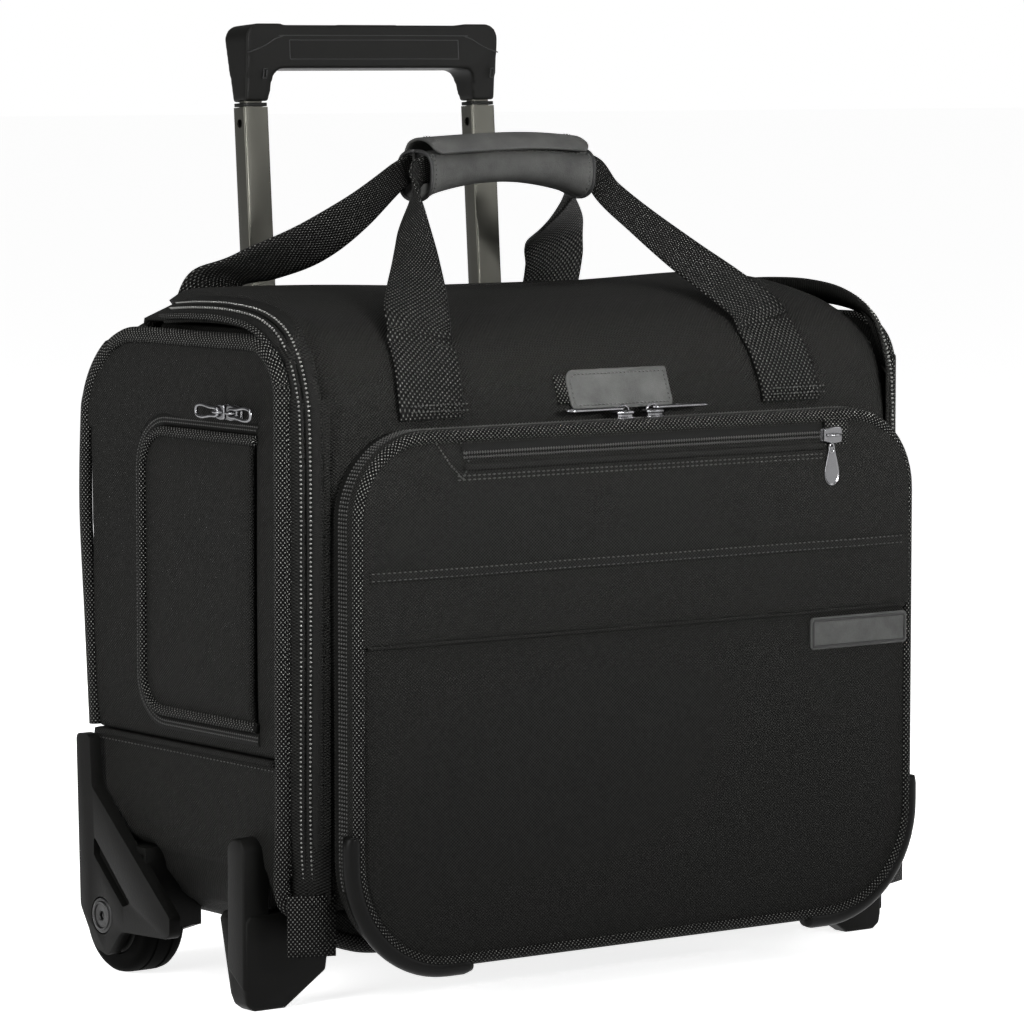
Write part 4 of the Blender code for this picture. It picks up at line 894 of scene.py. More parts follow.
hem = 0.0022
patch_hem = [patch_face(x, z) for x, z in (
    (patch_low.x + hem, patch_low.z + hem), (patch_high.x - hem, patch_low.z + hem),
    (patch_high.x - hem, patch_high.z - hem), (patch_low.x + hem + 0.003, patch_high.z - hem),
    (patch_low.x + hem, patch_high.z - hem - 0.003))]
stitches("name_patch_stitches", [(evened(patch_hem, 0.001, True), (0, -1, 0.3), True)], THREAD, "lid",
         0.0024, LEATHER_STITCH)

badge_low, badge_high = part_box("leather_badge")
badge = softened("leather_badge", "blank_badge", NUBUCK_PALE, 0.0006, 3)
settle(badge, "organiser_panel", ["leather_badge"])
badge_rim = [(x, badge_low.y - FRONT - 0.0001, z) for x, z in (
    (badge_low.x + 0.0016, badge_low.z + 0.0016), (badge_high.x - 0.0016, badge_low.z + 0.0016),
    (badge_high.x - 0.0016, badge_high.z - 0.0016), (badge_low.x + 0.0016, badge_high.z - 0.0016))]
run_along("badge_border", evened(badge_rim, 0.002, True), (0, -1, 0), oval(0.0007, 0.0005, 8), LEATHER_EDGE,
          "organiser_panel", closed=True)

# The carry handle's straps: 38 mm ribbed webbing. Each foot is sewn flat, the front pair to the lid and the
# rear pair to the back wall; above it the strap lifts off, narrows, and turns on edge into the wrap. Each
# free part gets a mesh of its own and sits on the same body as its foot.
# The pale colour is the painted highlight on the webbing's rib crests; the webbing itself is black.
WEBBING = braided("strap_webbing", (0.0030, 0.0027), (0.0025, 0.0025, 0.0023), (0.150, 0.150, 0.142), 0.0009,
                  specular=0.06)
STRAP_X, REAR_STRAP_X = 0.1135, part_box("strap_rear")[1].x - 0.0190
STRAP_WIDTH = 0.038
WRAP_LOW, WRAP_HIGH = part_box("wrap_front")
WRAP_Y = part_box("wrap_front")[1].y - FRONT
CORE_Z = (WRAP_LOW.z + WRAP_HIGH.z) / 2
strap_section = [(-0.0190, 0.0), (-0.0183, -0.0009), (-0.0120, -0.0008), (-0.0060, -0.0009), (0.0, -0.0008),
                 (0.0060, -0.0009), (0.0120, -0.0008), (0.0183, -0.0009), (0.0190, 0.0), (0.0183, 0.0009),
                 (0.0120, 0.0008), (0.0060, 0.0009), (0.0, 0.0008), (-0.0060, 0.0009), (-0.0120, 0.0008),
                 (-0.0183, 0.0009)]


def strap(name, knots, body, replaced=(), joint=None):
    """Webbing through knots of (x, y, z, width, twist): no twist lies across, a full one stands on edge."""
    path = smooth_line(knots, 12)
    outward = []
    for i, (x, y, z, width, twist) in enumerate(path):
        tangent = Vector(path[min(i + 1, len(path) - 1)][:3]) - Vector(path[max(i - 1, 0)][:3])
        turn = twist * math.pi / 2
        across = Vector((math.cos(turn), 0, math.sin(turn)))
        outward.append(tuple(tangent.cross(across).normalized()))
    made = run_along(name, path, outward, strap_section, WEBBING, body, replaced=replaced,
                     widths=[p[3] / STRAP_WIDTH for p in path])
    if joint:
        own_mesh(made)
    return made


FRONT_LIFT_Z, REAR_LIFT_Z = 0.3275, 0.3370
SLIM = 0.014


def behind(z):
    """Just behind the leaning back wall."""
    return 0.1475 + z * math.tan(math.radians(4.0)) + 0.0018


for side, letter in ((-1, "l"), (1, "r")):
    lift_off = (side * 0.1086, -0.0133, FRONT_LIFT_Z, STRAP_WIDTH - 0.001)
    foot = []
    for i, (y, z) in enumerate(p[:2] for p in side_run):
        if 0.286 < z < FRONT_LIFT_Z - 0.003 and y < 0.0:
            drift = max(0.0, (z - 0.290) / 0.0375)**1.3
            x = side * (STRAP_X - 0.0049 * drift) - 0.0035 * (1 - drift)
            _, py, pz = lid_point(i, abs(x) / (LID_X + 0.0008))
            foot.append((x, py - 0.0017, pz + 0.0008, STRAP_WIDTH, 0.0))
    foot.append((*lift_off, 0.0))
    strap(f"strap_foot_front_{letter}", foot, "lid")
    free = [(*lift_off, 0.0), (side * 0.1060, -0.0075, 0.3352, 0.0355, 0.03),
            (side * 0.0965, 0.0060, 0.3470, 0.0310, 0.10), (side * 0.0850, 0.0230, 0.3610, 0.0240, 0.25),
            (side * 0.0730, 0.0420, 0.3775, 0.0175, 0.50), (side * 0.0625, 0.0570, 0.3925, 0.0145, 0.85),
            (side * 0.0560, WRAP_Y - 0.0082, CORE_Z - 0.0020, SLIM, 1),
            (side * 0.0480, WRAP_Y - 0.0078, CORE_Z, SLIM, 1), (side * 0.0380, WRAP_Y - 0.0078, CORE_Z, SLIM, 1)]
    strap(f"strap_front_{letter}", free, "lid", ["strap_front"], "handle_front_drop")
    foot = [(side * REAR_STRAP_X, behind(z), z, STRAP_WIDTH, 0) for z in (0.290, 0.300, 0.312, 0.325, REAR_LIFT_Z)]
    strap(f"strap_foot_rear_{letter}", foot, "case")
    sagging = [(-0.1080, 0.1650, 0.3490, 0.0370, -0.05), (-0.0960, 0.1470, 0.3560, 0.0330, -0.20),
               (-0.0820, 0.1220, 0.3670, 0.0260, -0.45), (-0.0690, 0.0990, 0.3830, 0.0190, -0.80)]
    standing = [(0.1100, 0.1665, 0.3530, 0.0380, -0.02), (0.1020, 0.1560, 0.3680, 0.0360, -0.10),
                (0.0830, 0.1270, 0.3810, 0.0260, -0.45), (0.0680, 0.0990, 0.3925, 0.0175, -0.85)]
    free = [(side * REAR_STRAP_X, behind(REAR_LIFT_Z), REAR_LIFT_Z, STRAP_WIDTH, 0),
            *(sagging if side < 0 else standing),
            (side * 0.0580, WRAP_Y + 0.0092, CORE_Z - 0.0050, SLIM, -1),
            (side * 0.0500, WRAP_Y + 0.0078, CORE_Z, SLIM, -1), (side * 0.0380, WRAP_Y + 0.0078, CORE_Z, SLIM, -1)]
    free = [(x, y, z, width, twist * -side) for x, y, z, width, twist in free]
    strap(f"strap_rear_{letter}", free, "case", ["strap_rear"], "handle_rear_drop")
    rows = []
    for z in (0.2915, 0.2945):
        y = min(lid_point(i, STRAP_X / LID_X)[1] for i in range(len(side_run)) if abs(side_run[i][1] - z) < 0.006)
        ends = side * STRAP_X - 0.0175, side * STRAP_X + 0.0175
        rows.append(([(x, y - 0.0030, z) for x in ends], (0, -1, 0), False))
        ends = side * REAR_STRAP_X - 0.0175, side * REAR_STRAP_X + 0.0175
        rows.append(([(x, behind(z) + 0.0011, z) for x in ends], (0, 1, 0), False))
    stitches(f"strap_tack_front_{letter}", rows[0::2], THREAD, "lid", 0.0022, TACK_STITCH)
    stitches(f"strap_tack_rear_{letter}", rows[1::2], THREAD, "case", 0.0022, TACK_STITCH)

# The handle wrap: nubuck over foam in two halves, one on each pair of straps, arched underneath for the
# hand. A third piece folds over the top of both and hangs a little over the front, its corners rounded.
WRAP_HALF = WRAP_HIGH.x
WRAP_DEPTH = WRAP_Y - (WRAP_LOW.y - FRONT)
RING_POINTS = 19


def wrap_ring(x, facing, grow=0.0):
    """The section of one half of the wrap at x, from the middle of its top round to the middle below."""
    arch = 0.0056 * (1 - (x / WRAP_HALF)**2)
    droop = 0.0022 * (x / WRAP_HALF)**2
    flare = 0.0010 * max(0.0, abs(x) / WRAP_HALF - 0.85) / 0.15
    ring = []
    for step in range(RING_POINTS):
        angle = math.pi * step / (RING_POINTS - 1)
        depth = (WRAP_DEPTH - 0.0006 + flare + grow) * math.sin(angle)**0.75
        up = math.copysign(abs(math.cos(angle))**0.75, math.cos(angle))
        high = 0.0098 + grow + flare if up > 0 else 0.0136 - arch + grow + flare
        ring.append((WRAP_Y + facing * (0.0003 + depth), CORE_Z + 0.0008 - droop + up * high))
    return ring


for name, facing, body, node in (("wrap_front_half", -1, "handle_front", "wrap_front"),
                                 ("wrap_rear_half", 1, "handle_rear", "wrap_rear")):
    stations = [WRAP_HALF * math.sin(math.pi / 2 * (2 * i / 30 - 1)) for i in range(31)]
    points = []
    rings = [(stations[0] + 0.0035, -0.0022)] + [(x, 0.0) for x in stations] + [(stations[-1] - 0.0035, -0.0022)]
    for x, grow in rings:
        points += [(x, y, z) for y, z in wrap_ring(x, facing, grow)]
    faces = hoop_faces(len(rings), RING_POINTS) + end_caps(len(rings), RING_POINTS)
    half = add_mesh(name, points, faces, NUBUCK_DARK, body, [node])
    turn_outward(half)
    seam = []
    for i in range(41):
        x = (WRAP_HALF - 0.003) * (2 * i / 40 - 1)
        ring = wrap_ring(x, facing, 0.0001)
        seam.append((x, *ring[4]))
    rows = [(seam, (0, facing, 0.6), False)]
    for end in (-1, 1):
        x = end * (WRAP_HALF - 0.0030)
        rows.append(([(x, y, z) for y, z in wrap_ring(x, facing, 0.0001)[3:16]], (0, facing, 0), False))
    stitches(f"{name}_stitches", rows, THREAD, body, 0.0024, LEATHER_STITCH)
    for end in (-1, 1):
        lip = [(end * (WRAP_HALF - 0.0004), y, z) for y, z in wrap_ring(end * WRAP_HALF, facing, -0.0003)]
        run_along(f"{name}_lip_{'l' if end < 0 else 'r'}", lip, (end, 0, 0), oval(0.0010, 0.0010, 8), LEATHER_EDGE,
                  body)

FLAP_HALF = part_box("wrap_flap")[1].x + 0.0010
flap_points, flap_rows, flap_columns = [], 20, 36
for i in range(flap_rows + 1):
    down = i / flap_rows
    y = WRAP_Y + 0.0150 - 0.0300 * down
    over = max(0.0, (WRAP_Y - 0.0105 - y) / 0.0045)
    past = max(0.0, (y - WRAP_Y - 0.0085) / 0.0060)
    reach = FLAP_HALF - 0.0040 * max(0.0, (down - 0.86) / 0.14)**2
    for j in range(flap_columns + 1):
        x = reach * (2 * j / flap_columns - 1)
        droop = 0.0024 * (x / WRAP_HALF)**2
        crown = 0.0042 * max(0.0, 1 - ((y - WRAP_Y) / 0.0125)**2)
        z = WRAP_HIGH.z + 0.0004 + crown - droop - 0.0032 * over**1.6 - 0.0070 * past**1.4
        flap_points.append((x, y, z + 0.0004 * math.sin(x * 60)))
flap = add_mesh("wrap_top_flap", flap_points, sheet_faces(flap_rows, flap_columns), NUBUCK_DARK, "handle_flap",
                ["wrap_flap"])
thickened(flap, 2, -1, 0.0016)
bevelled(flap, 0.0005, 2, 50)


def flap_spot(i, j):
    p = flap_points[i * (flap_columns + 1) + j]
    return (p[0], p[1], p[2] + 0.0017)


border = [flap_spot(2, j) for j in range(2, flap_columns - 1)] + [flap_spot(i, flap_columns - 2)
                                                                 for i in range(3, flap_rows - 1)]
border += [flap_spot(flap_rows - 2, j) for j in range(flap_columns - 3, 1, -1)]
border += [flap_spot(i, 2) for i in range(flap_rows - 3, 2, -1)]
stitches("wrap_flap_stitches", [(evened(border, 0.001, True), (0, -0.2, 1), True)], THREAD, "handle_flap",
         0.0024, LEATHER_STITCH)

# The zip sliders and pulls: castings in dark chrome. The organiser's pulls are long wire loops, each end
# pocket's are wire loops, and the front pocket's is a flat teardrop on a ring.
CHROME = plain("dark_chrome", (0.16, 0.16, 0.165), 0.24, 0.5, 0.15, 500.0, 0.00005, 1.0, 0.0, 0.2)


def wire(name, line, radius, body, replaced=(), closed=False, outward=(0, 0, 1)):
    """Round wire bent along a line."""
    return run_along(name, evened(line, radius * 0.9, closed), outward, oval(radius, radius, 12), CHROME, body,
                     closed=closed, replaced=replaced)


def slider_body(name, centre, along, up, length, width, height, body, replaced):
    """A coil slider: two flat cheeks, waisted at the back, joined by a post, with a raised bridge on top."""
    along, up = Vector(along).normalized(), Vector(up).normalized()
    across = up.cross(along)
    plan = [(-0.50, 0.34), (-0.20, 0.44), (0.10, 0.50), (0.42, 0.46), (0.50, 0.30)]
    plan = [(a, b) for a, b in plan] + [(a, -b) for a, b in reversed(plan)]
    points = []
    levels = ((-0.5, 0.94), (-0.42, 1.0), (-0.20, 1.0), (-0.16, 0.86), (0.10, 0.86), (0.14, 1.0), (0.34, 1.0),
              (0.44, 0.9))
    for level, size in levels:
        for a, b in plan:
            points.append(Vector(centre) + along * a * length * size + across * b * width * size + up * level * height)
    count = len(plan)
    faces = hoop_faces(len(levels), count) + end_caps(len(levels), count)
    made = turn_outward(add_mesh(name, points, faces, CHROME, body, replaced, smooth=False))
    bevelled(made, 0.00025, 2, 35)
    bridge = [Vector(centre) + along * length * a + up * height * b
              for a, b in ((-0.36, 0.40), (-0.30, 0.72), (-0.12, 0.92), (0.12, 0.92), (0.30, 0.72), (0.36, 0.40))]
    wire(f"{name}_bridge", [tuple(p) for p in bridge], 0.0007, body, outward=tuple(across))
    return made


for letter, side in (("l", -1), ("r", 1)):
    low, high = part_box(f"organiser_slider_{letter}")
    middle_x = low.x + 0.0055 if side > 0 else high.x - 0.0055
    y, z = (low.y + high.y) / 2 - FRONT, low.z + 0.0022
    slider_body(f"organiser_slide_{letter}", (middle_x, y, z), (-side, 0, 0), (0, 0, 1), 0.0105, 0.0078, 0.0050,
                f"organiser_slider_{letter}", [f"organiser_slider_{letter}"])
    start, end = middle_x + side * 0.0010, (high.x if side > 0 else low.x)
    top = z + 0.0032
    loop = [(start, y - 0.0016, top), (start + side * 0.006, y - 0.0020, top), (end - side * 0.008, y - 0.0024, top),
            (end - side * 0.0025, y - 0.0024, top), (end, y, top), (end - side * 0.0025, y + 0.0024, top),
            (end - side * 0.008, y + 0.0024, top), (start + side * 0.006, y + 0.0020, top), (start, y + 0.0016, top)]
    wire(f"organiser_pull_{letter}", [p[:3] for p in smooth_line(loop, 6, True)], 0.00085,
         f"organiser_slider_{letter}", closed=True)
    grip = [(end - side * 0.0200 + side * 0.0185 * i / 10, y, top + 0.0001) for i in range(11)]
    run_along(f"organiser_pull_grip_{letter}", grip, (0, 0, 1), oval(0.0017, 0.0010, 12), CHROME,
              f"organiser_slider_{letter}", widths=[0.55, 0.85, 1, 1, 1, 1, 1, 1, 1, 0.85, 0.55])
    low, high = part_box(f"main_slider_{letter}")
    centre = ((low.x + high.x) / 2, (low.y + high.y) / 2 - FRONT, (low.z + high.z) / 2 + 0.0012)
    slider_body(f"main_slide_{letter}", centre, (-side, 0, 0), (0, 0.45, 0.9), 0.0115, 0.0085, 0.0052,
                f"main_slider_{letter}", [f"main_slider_{letter}"])
    drop = [(centre[0] + side * 0.001, centre[1] + 0.0030, centre[2] + 0.0030),
            (centre[0] + side * 0.010, centre[1] + 0.0046, centre[2] + 0.0026),
            (centre[0] + side * 0.024, centre[1] + 0.0052, centre[2] + 0.0018),
            (centre[0] + side * 0.027, centre[1] + 0.0032, centre[2] + 0.0024),
            (centre[0] + side * 0.024, centre[1] + 0.0014, centre[2] + 0.0034),
            (centre[0] + side * 0.010, centre[1] + 0.0016, centre[2] + 0.0036)]
    wire(f"main_pull_{letter}", [p[:3] for p in smooth_line(drop, 6, True)], 0.00085, f"main_slider_{letter}",
         closed=True)
    for place in ("front", "rear"):
        node = f"side_slider_{letter}_{place}"
        low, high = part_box(node)
        y = (0.019 if place == "front" else 0.030)
        x = side * (POCKET_X + 0.0030)
        z = (low.z + high.z) / 2
        slider_body(f"side_slide_{letter}_{place}", (x, y, z), (0, 1 if place == "front" else -1, 0), (side, 0, 0),
                    0.0095, 0.0078, 0.0048, node, [node])
        way = 1 if place == "rear" else -1
        x += side * 0.0030
        loop = [(x, y, z + 0.0016), (x, y + way * 0.006, z + 0.0021), (x, y + way * 0.013, z + 0.0030),
                (x, y + way * 0.0175, z + 0.0022), (x, y + way * 0.0185, z), (x, y + way * 0.0175, z - 0.0022),
                (x, y + way * 0.013, z - 0.0030), (x, y + way * 0.006, z - 0.0021), (x, y, z - 0.0016)]
        wire(f"side_pull_{letter}_{place}", [p[:3] for p in smooth_line(loop, 6, True)], 0.0009, node, closed=True,
             outward=(side, 0, 0))

low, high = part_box("pocket_slider")
face = (low.y + high.y) / 2 - FRONT
slider_body("pocket_slide", ((low.x + high.x) / 2, face, (low.z + high.z) / 2), (1, 0, 0), (0, -1, 0), 0.0120, 0.0088,
            0.0046, "pocket_slider", ["pocket_slider"])
low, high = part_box("pocket_puller")
hang_x, hang_y, hang_top, hang_end = (low.x + high.x) / 2, (low.y + high.y) / 2 - FRONT, high.z, low.z
teardrop = [(0.0, 0.0016), (0.0016, 0.0008), (0.0024, -0.0030), (0.0036, -0.0090), (0.0047, -0.0160),
            (0.0042, -0.0215), (0.0022, -0.0246), (0.0, -0.0254)]
teardrop += [(-x, z) for x, z in reversed(teardrop[1:-1])]
size = (hang_top - hang_end) / 0.0262
plate = []
for x, _, z in smooth_line([(x, 0.0, z) for x, z in teardrop], 4, True):
    plate.append((hang_x + x, hang_y - 0.0011, hang_top - 0.0010 + z * size))
count = len(plate)
points = plate + [(x, y + 0.0020, z) for x, y, z in plate]
faces = [tuple(range(count)), tuple(range(2 * count - 1, count - 1, -1))]
faces += [(j, (j + 1) % count, count + (j + 1) % count, count + j) for j in range(count)]
puller = turn_outward(add_mesh("pocket_pull", points, faces, CHROME, "pocket_puller", ["pocket_puller"],
                               smooth=False))
only(puller)
bpy.ops.object.mode_set(mode="EDIT")
bpy.ops.mesh.select_mode(type="FACE")
bpy.ops.mesh.select_all(action="DESELECT")
bpy.ops.object.mode_set(mode="OBJECT")
for polygon in puller.data.polygons:
    polygon.select = polygon.normal.y < -0.9
bpy.ops.object.mode_set(mode="EDIT")
bpy.ops.mesh.inset(thickness=0.0009, depth=-0.0004)
bpy.ops.object.mode_set(mode="OBJECT")
bevelled(puller, 0.0003, 2, 35)
ring = [(hang_x + 0.0014 * math.cos(a * math.pi / 8), hang_y - 0.0004,
         hang_top - 0.0006 + 0.0026 * math.sin(a * math.pi / 8)) for a in range(16)]
wire("pocket_pull_ring", ring, 0.0007, "pocket_puller", closed=True, outward=(0, -1, 0))

# The webbing patch that covers the zips' ends at the foot of each front corner, and the braid tab that
# holds the name patch's left end.
for side, letter in ((-1, "l"), (1, "r")):
    band = [(side * 0.1845, -0.0285, 0.0300 + 0.0300 * i / 8) for i in range(9)]
    run_along(f"corner_patch_{letter}", band, (side * 0.35, -0.93, 0),
              [(-0.0120, -0.0007), (0.0120, -0.0007), (0.0120, 0.0006), (0.0, 0.0013), (-0.0120, 0.0006)], BRAID,
              "case")
tab = [(patch_low.x - 0.0030, patch_face(0, z)[1] + 0.0016, z) for z in
       (patch_low.z + 0.003, patch_low.z + 0.008, patch_low.z + 0.013, patch_low.z + 0.017)]
run_along("name_patch_tab", tab, (0, -1, 0.3), oval(0.0040, 0.0009, 10), BRAID, "lid")

# The pull handle. Its tubes are drawn aluminium, anodised an olive grey; near the top of the middle stage is
# the hole for its lock pin. The grip's two satin mouldings meet in one soft shape, with fine lines for their
# parting, for a blank panel on the front and for the catch in each leg.
ALUMINIUM = plain("olive_anodised", (0.056, 0.055, 0.047), 0.38, 0.5, 0.20, 380.0, 0.00005, 0.85, 0.0, 0.10)
GRIP_BLACK = plain("grip_moulding", (0.0055, 0.0055, 0.0050), 0.42, 0.08, 0.45, 1500.0, 0.00010)
HOUSING_GREY = plain("housing_moulding", (0.0048, 0.0048, 0.0044), 0.46, 0.07, 0.55, 1300.0, 0.00014)
DARK_STEEL = plain("blackened_steel", (0.030, 0.030, 0.030), 0.35, 0.5, 0.2, 600.0, 0.00006, 0.9)
LEAN = math.radians(4.0)
TROLLEY_Y = 0.1563


def on_trolley(x, y, z):
    """A place measured along the leaning tubes."""
    return (x, TROLLEY_Y + y * math.cos(LEAN) + z * math.sin(LEAN), z * math.cos(LEAN) - y * math.sin(LEAN))


TUBE_CORNER = 0.0012


def drilled_tube(name, x, half_x, half_y, low, high, hole, body, node):
    """A rectangular tube with rounded corners, open at both ends, its pin hole through the narrow sides."""
    ring = []
    for sign_x, sign_y, start in ((1, -1, -90), (1, 1, 0), (-1, 1, 90), (-1, -1, 180)):
        for step in range(5):
            a = math.radians(start + 22.5 * step)
            ring.append((sign_x * (half_x - TUBE_CORNER) + TUBE_CORNER * math.cos(a),
                         sign_y * (half_y - TUBE_CORNER) + TUBE_CORNER * math.sin(a)))
    inner = [(u * (half_x - 0.0011) / half_x, v * (half_y - 0.0013) / half_y) for u, v in ring]
    count = len(ring)
    points = [on_trolley(x + u, v, z) for outline, z in ((ring, low), (ring, high), (inner, high), (inner, low))
              for u, v in outline]
    faces = [(row * count + j, row * count + (j + 1) % count, (row + 1) % 4 * count + (j + 1) % count,
              (row + 1) % 4 * count + j) for row in range(4) for j in range(count)]
    tube = turn_outward(add_mesh(name, points, faces, ALUMINIUM, body, [node], smooth=False))
    if hole:
        where = on_trolley(x, -0.0006, hole)
        bpy.ops.object.select_all(action="DESELECT")
        bpy.ops.mesh.primitive_cylinder_add(vertices=32, radius=0.0023, depth=3 * half_x,
                                            rotation=(0, math.radians(90), 0),
                                            location=(where[0], where[1] + FRONT, where[2]))
        drill = bpy.context.active_object
        apply_modifier(tube, "BOOLEAN", operation="DIFFERENCE", object=drill, solver="EXACT")
        bpy.data.objects.remove(drill, do_unlink=True)
    return smooth_below(tube, 24)


for letter, side in (("l", -1), ("r", 1)):
    tube_low, tube_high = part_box(f"middle_tube_{letter}")
    tube_x, tube_half = (tube_low.x + tube_high.x) / 2, (tube_high.x - tube_low.x) / 2
    drilled_tube(f"tube_middle_{letter}", tube_x, tube_half, 0.0052, 0.136, 0.4374, 0.4290, "middle_stage",
                 f"middle_tube_{letter}")
    inner_half = (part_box(f"inner_tube_{letter}")[1].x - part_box(f"inner_tube_{letter}")[0].x) / 2
    drilled_tube(f"tube_inner_{letter}", tube_x, inner_half, 0.0033, 0.150, 0.4462, None, "grip_stage",
                 f"inner_tube_{letter}")
    collar = softened(f"tube_collar_{letter}", f"collar_{letter}", GRIP_BLACK, 0.0006, 2)
    settle(collar, "middle_stage", [f"tube_collar_{letter}"])

grip = traced("grip_lower_shell", "grip_mouldings", GRIP_BLACK)
upper = traced("grip_upper_shell", "grip_upper", GRIP_BLACK)
bpy.ops.object.select_all(action="DESELECT")
upper.select_set(True)
grip.select_set(True)
bpy.context.view_layer.objects.active = grip
bpy.ops.object.join()
apply_modifier(grip, "REMESH", mode="VOXEL", voxel_size=0.0008, use_smooth_shade=True)
apply_modifier(grip, "SMOOTH", iterations=14, factor=0.5)
settle(grip, "grip_stage", ["grip_lower_shell", "grip_upper_shell"])


def on_grip(x, z):
    """The front of the grip, which is thinner down its legs."""
    return on_trolley(x, -0.01060 + 0.0045 * max(0.0, 1 - (z - 0.4402) / 0.018), z)


def grip_line(name, corners, closed, radius):
    """A fine moulded line on the grip's front."""
    return run_along(name, evened(corners, 0.001, closed), (0, -1, 0), oval(radius, radius * 0.9, 8), LEATHER_EDGE,
                     "grip_stage", closed=closed)


grip_line("grip_panel_line", [on_grip(x, z) for x, z in ((-0.0545, 0.4618), (0.0545, 0.4618), (0.0545, 0.4718),
                                                        (-0.0545, 0.4718))], True, 0.00030)
parting = [(0.0808, 0.4655), (0.0760, 0.4668), (0.0700, 0.4690), (0.0640, 0.4722), (0.0585, 0.4738), (0.0520, 0.4742)]
parting += [(-x, z) for x, z in reversed(parting)]
grip_line("grip_parting", [on_grip(x, z) for x, _, z in smooth_line([(x, 0.0, z) for x, z in parting], 6)], False,
          0.00032)
for side, letter in ((-1, "l"), (1, "r")):
    window_x, window_z = side * 0.0735 + 0.0035, 0.4545
    grip_line(f"grip_catch_{letter}", [on_grip(window_x + dx, window_z + dz) for dx, dz in (
        (-0.0010, -0.0024), (0.0010, -0.0024), (0.0010, 0.0024), (-0.0010, 0.0024))], True, 0.00028)
button = softened("release_button", "button", HOUSING_GREY, 0.0008, 3)
settle(button, "release_button", ["release_button"])

# The wheels and their housings: glass-filled nylon mouldings with softened edges, a strut across a slanted
# window, and a black cap with a raised ring and a hexagon socket over each axle. The tread is grooved.
TREAD = plain("wheel_tread", (0.0008, 0.0008, 0.0007), 0.62, 0.02, 0.4, 1100.0, 0.00015)
WHEEL_Y, WHEEL_Z = 0.133, 0.030
for side, letter in ((-1, "l"), (1, "r")):
    housing = softened(f"wheel_housing_{letter}", f"housing_{letter}", HOUSING_GREY, 0.0011, 3)
    settle(housing, "case", [f"wheel_housing_{letter}"])
    low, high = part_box(f"wheel_tyre_{letter}")
    middle, half = (low.x + high.x) / 2, (high.x - low.x) / 2
    bpy.ops.object.select_all(action="DESELECT")
    shoulder = [(0.0205, 0.0), (0.0262, 0.0), (0.0281, 0.0006), (0.0294, 0.0022), (0.0299, 0.0045)]
    section = [(r, -half + inward) for r, inward in shoulder]
    for groove in (-0.0045, 0.0045):
        section += [(0.0300, groove - 0.0009), (0.0293, groove - 0.0005), (0.0293, groove + 0.0005),
                    (0.0300, groove + 0.0009)]
    section += [(r, half - inward) for r, inward in reversed(shoulder)]
    turns, points, faces = 64, [], []
    for step in range(turns):
        a = 2 * math.pi * step / turns
        points += [(middle + x, WHEEL_Y + r * math.cos(a), WHEEL_Z + r * math.sin(a)) for r, x in section]
    count = len(section)
    for i in range(turns):
        for j in range(count):
            faces.append((i * count + j, i * count + (j + 1) % count, (i + 1) % turns * count + (j + 1) % count,
                          (i + 1) % turns * count + j))
    tyre = turn_outward(add_mesh(f"tyre_{letter}", points, faces, TREAD, f"wheel_{letter}",
                                 [f"wheel_tyre_{letter}"]))
    smooth_below(tyre, 40)
    cap = softened(f"axle_bolt_{letter}", f"axle_{letter}", DARK_STEEL, 0.0006, 3)
    settle(cap, "case", [f"axle_bolt_{letter}"])
    cap_x = side * (abs(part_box(f"axle_bolt_{letter}")[0 if side < 0 else 1].x) + 0.0001)
    ring = [(cap_x, WHEEL_Y + 0.0068 * math.cos(a * math.pi / 20), WHEEL_Z + 0.0068 * math.sin(a * math.pi / 20))
            for a in range(40)]
    run_along(f"axle_ring_{letter}", ring, (side, 0, 0), oval(0.0007, 0.0006, 10), DARK_STEEL, "case",
              closed=True)
    hub = softened(f"wheel_hub_{letter}", f"hub_{letter}", GRIP_BLACK, 0.0008, 2)
    settle(hub, f"wheel_{letter}", [f"wheel_hub_{letter}"])

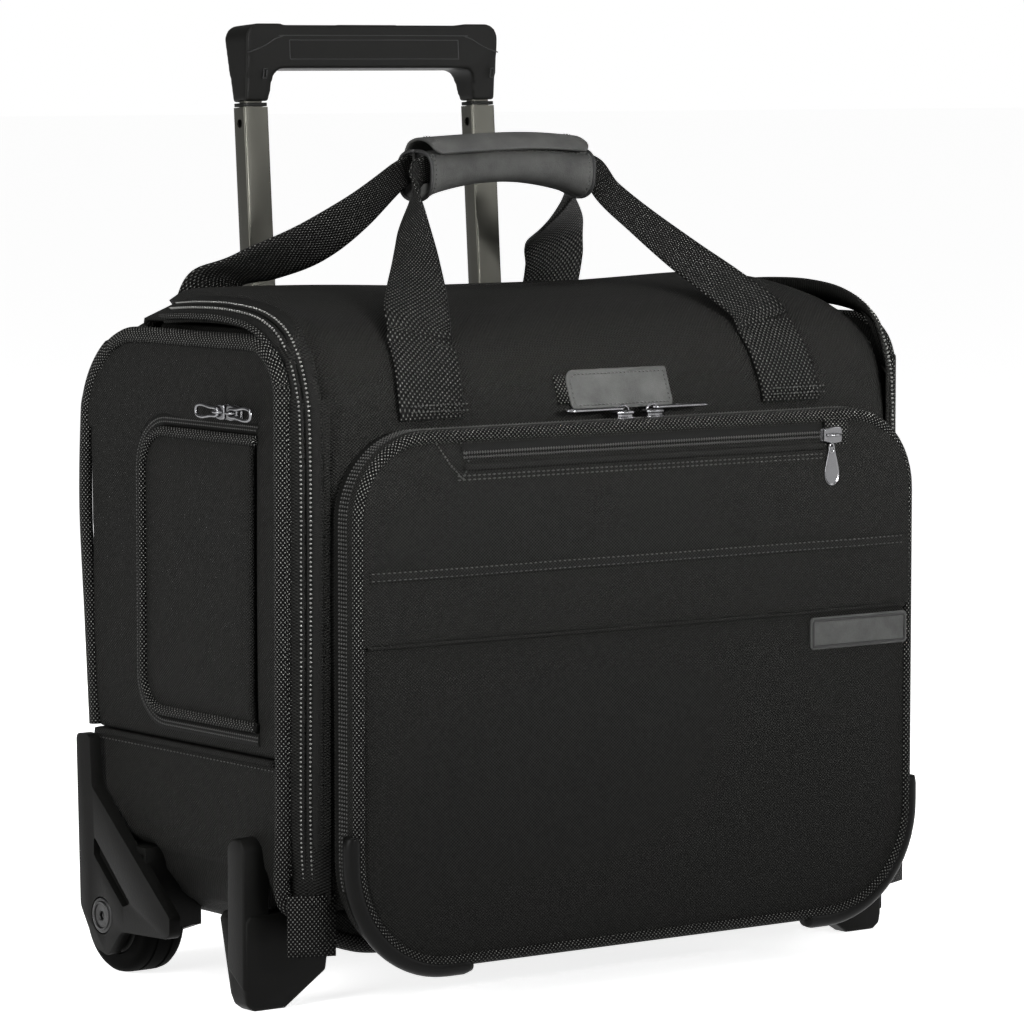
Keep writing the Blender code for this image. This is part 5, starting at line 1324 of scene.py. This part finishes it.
# The front feet: a boot that flares from a small sole up to the bag's round corner, with a rounded rib that
# stands up its outer face.
for side, letter in ((-1, "l"), (1, "r")):
    foot_low, foot_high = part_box(f"front_foot_{letter}")
    outer_x = max(abs(foot_low.x), abs(foot_high.x))
    corner_x, corner_z, reach = 0.138, 0.083, 0.0556
    outline = [(0.1800, 0.0), (outer_x - 0.0050, 0.0), (outer_x - 0.0010, 0.0030), (outer_x, 0.0080), (outer_x, 0.0440),
               (outer_x - 0.0020, 0.0475)]
    outline += [(corner_x + reach * math.cos(math.radians(a)), corner_z - reach * math.sin(math.radians(a)))
                for a in range(40, 74, 3)]
    outline += [(0.1560, 0.0165)]
    count, rows = len(outline), 5
    points = []
    for row in range(rows):
        for u, v in outline:
            spread = min(1.0, v / 0.034)
            depth = 0.0115 + 0.0125 * spread
            points.append((side * u, 0.0006 * (1 - spread) + depth * row / (rows - 1), v))
    faces = end_caps(rows, count) + hoop_faces(rows, count)
    boot = turn_outward(add_mesh(f"foot_{letter}", points, faces, HOUSING_GREY, "case",
                                 [f"front_foot_{letter}"]))
    smooth_below(bevelled(boot, 0.0014, 3, 35), 40)
    rib = [(0.0008, 0.0100), (0.0152, 0.0200)] + [(0.0152, 0.0780)]
    rib += arc((0.0080, 0.0778), 0.0072, 0, 180, 8)[1:-1] + [(0.0008, 0.0780)]
    points = [(side * x, y, z) for x in (0.1890, outer_x + 0.0012) for y, z in rib]
    count = len(rib)
    faces = end_caps(2, count) + hoop_faces(2, count)
    upright = turn_outward(add_mesh(f"foot_rib_{letter}", points, faces, HOUSING_GREY, "case"))
    smooth_below(bevelled(upright, 0.0012, 3, 35), 40)

# The back and what is inside: the nylon cover over the fixed tubes, sewn down both sides, the bezel at its
# top, the bracket at its foot, the stiffener boards and the lock's rods, crossbar, bushes and spring.
cover = softened("back_cover", "tube_cover", BALLISTIC, 0.0012, 3)
settle(cover, "case", ["back_cover"])
cover_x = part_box("back_cover")[1].x
for side, letter in ((-1, "l"), (1, "r")):
    edge_line = [on_trolley(side * (cover_x - 0.001), -0.0040, z) for z in (0.040, 0.12, 0.22, 0.330)]
    run_along(f"tube_cover_piping_{letter}", evened(edge_line, 0.004), (side, 0, 0), oval(0.0018, 0.0016, 10), BRAID,
              "case")
    rows = [([on_trolley(side * (cover_x - inset), 0.0100, 0.045), on_trolley(side * (cover_x - inset), 0.0100, 0.326)],
             (0, 1, 0), False) for inset in (0.0060, 0.0085)]
    stitches(f"tube_cover_stitches_{letter}", rows, THREAD, "case", 0.0030, SEAM_STITCH)
BOARD = plain("stiffener_board", (0.045, 0.045, 0.045), 0.6, 0.3, 0.4, 800.0, 0.0001)
STEEL = plain("plain_steel", (0.42, 0.42, 0.43), 0.32, 0.5, 0.25, 420.0, 0.00006, 1.0, 0.0, 0.12)
for finish, kept in ((GRIP_BLACK, ("trolley_bezel",)), (HOUSING_GREY, ("trolley_foot_bracket",)),
                     (ALUMINIUM, ("outer_tube_l", "outer_tube_r")), (BOARD, ("base_board", "back_board")),
                     (STEEL, ("wheel_bush_l", "wheel_bush_r", "lock_rod_l", "lock_rod_r", "lock_crossbar",
                              "button_spring"))):
    for node in kept:
        for socket in nodes[node].material_slots:
            socket.material = finish
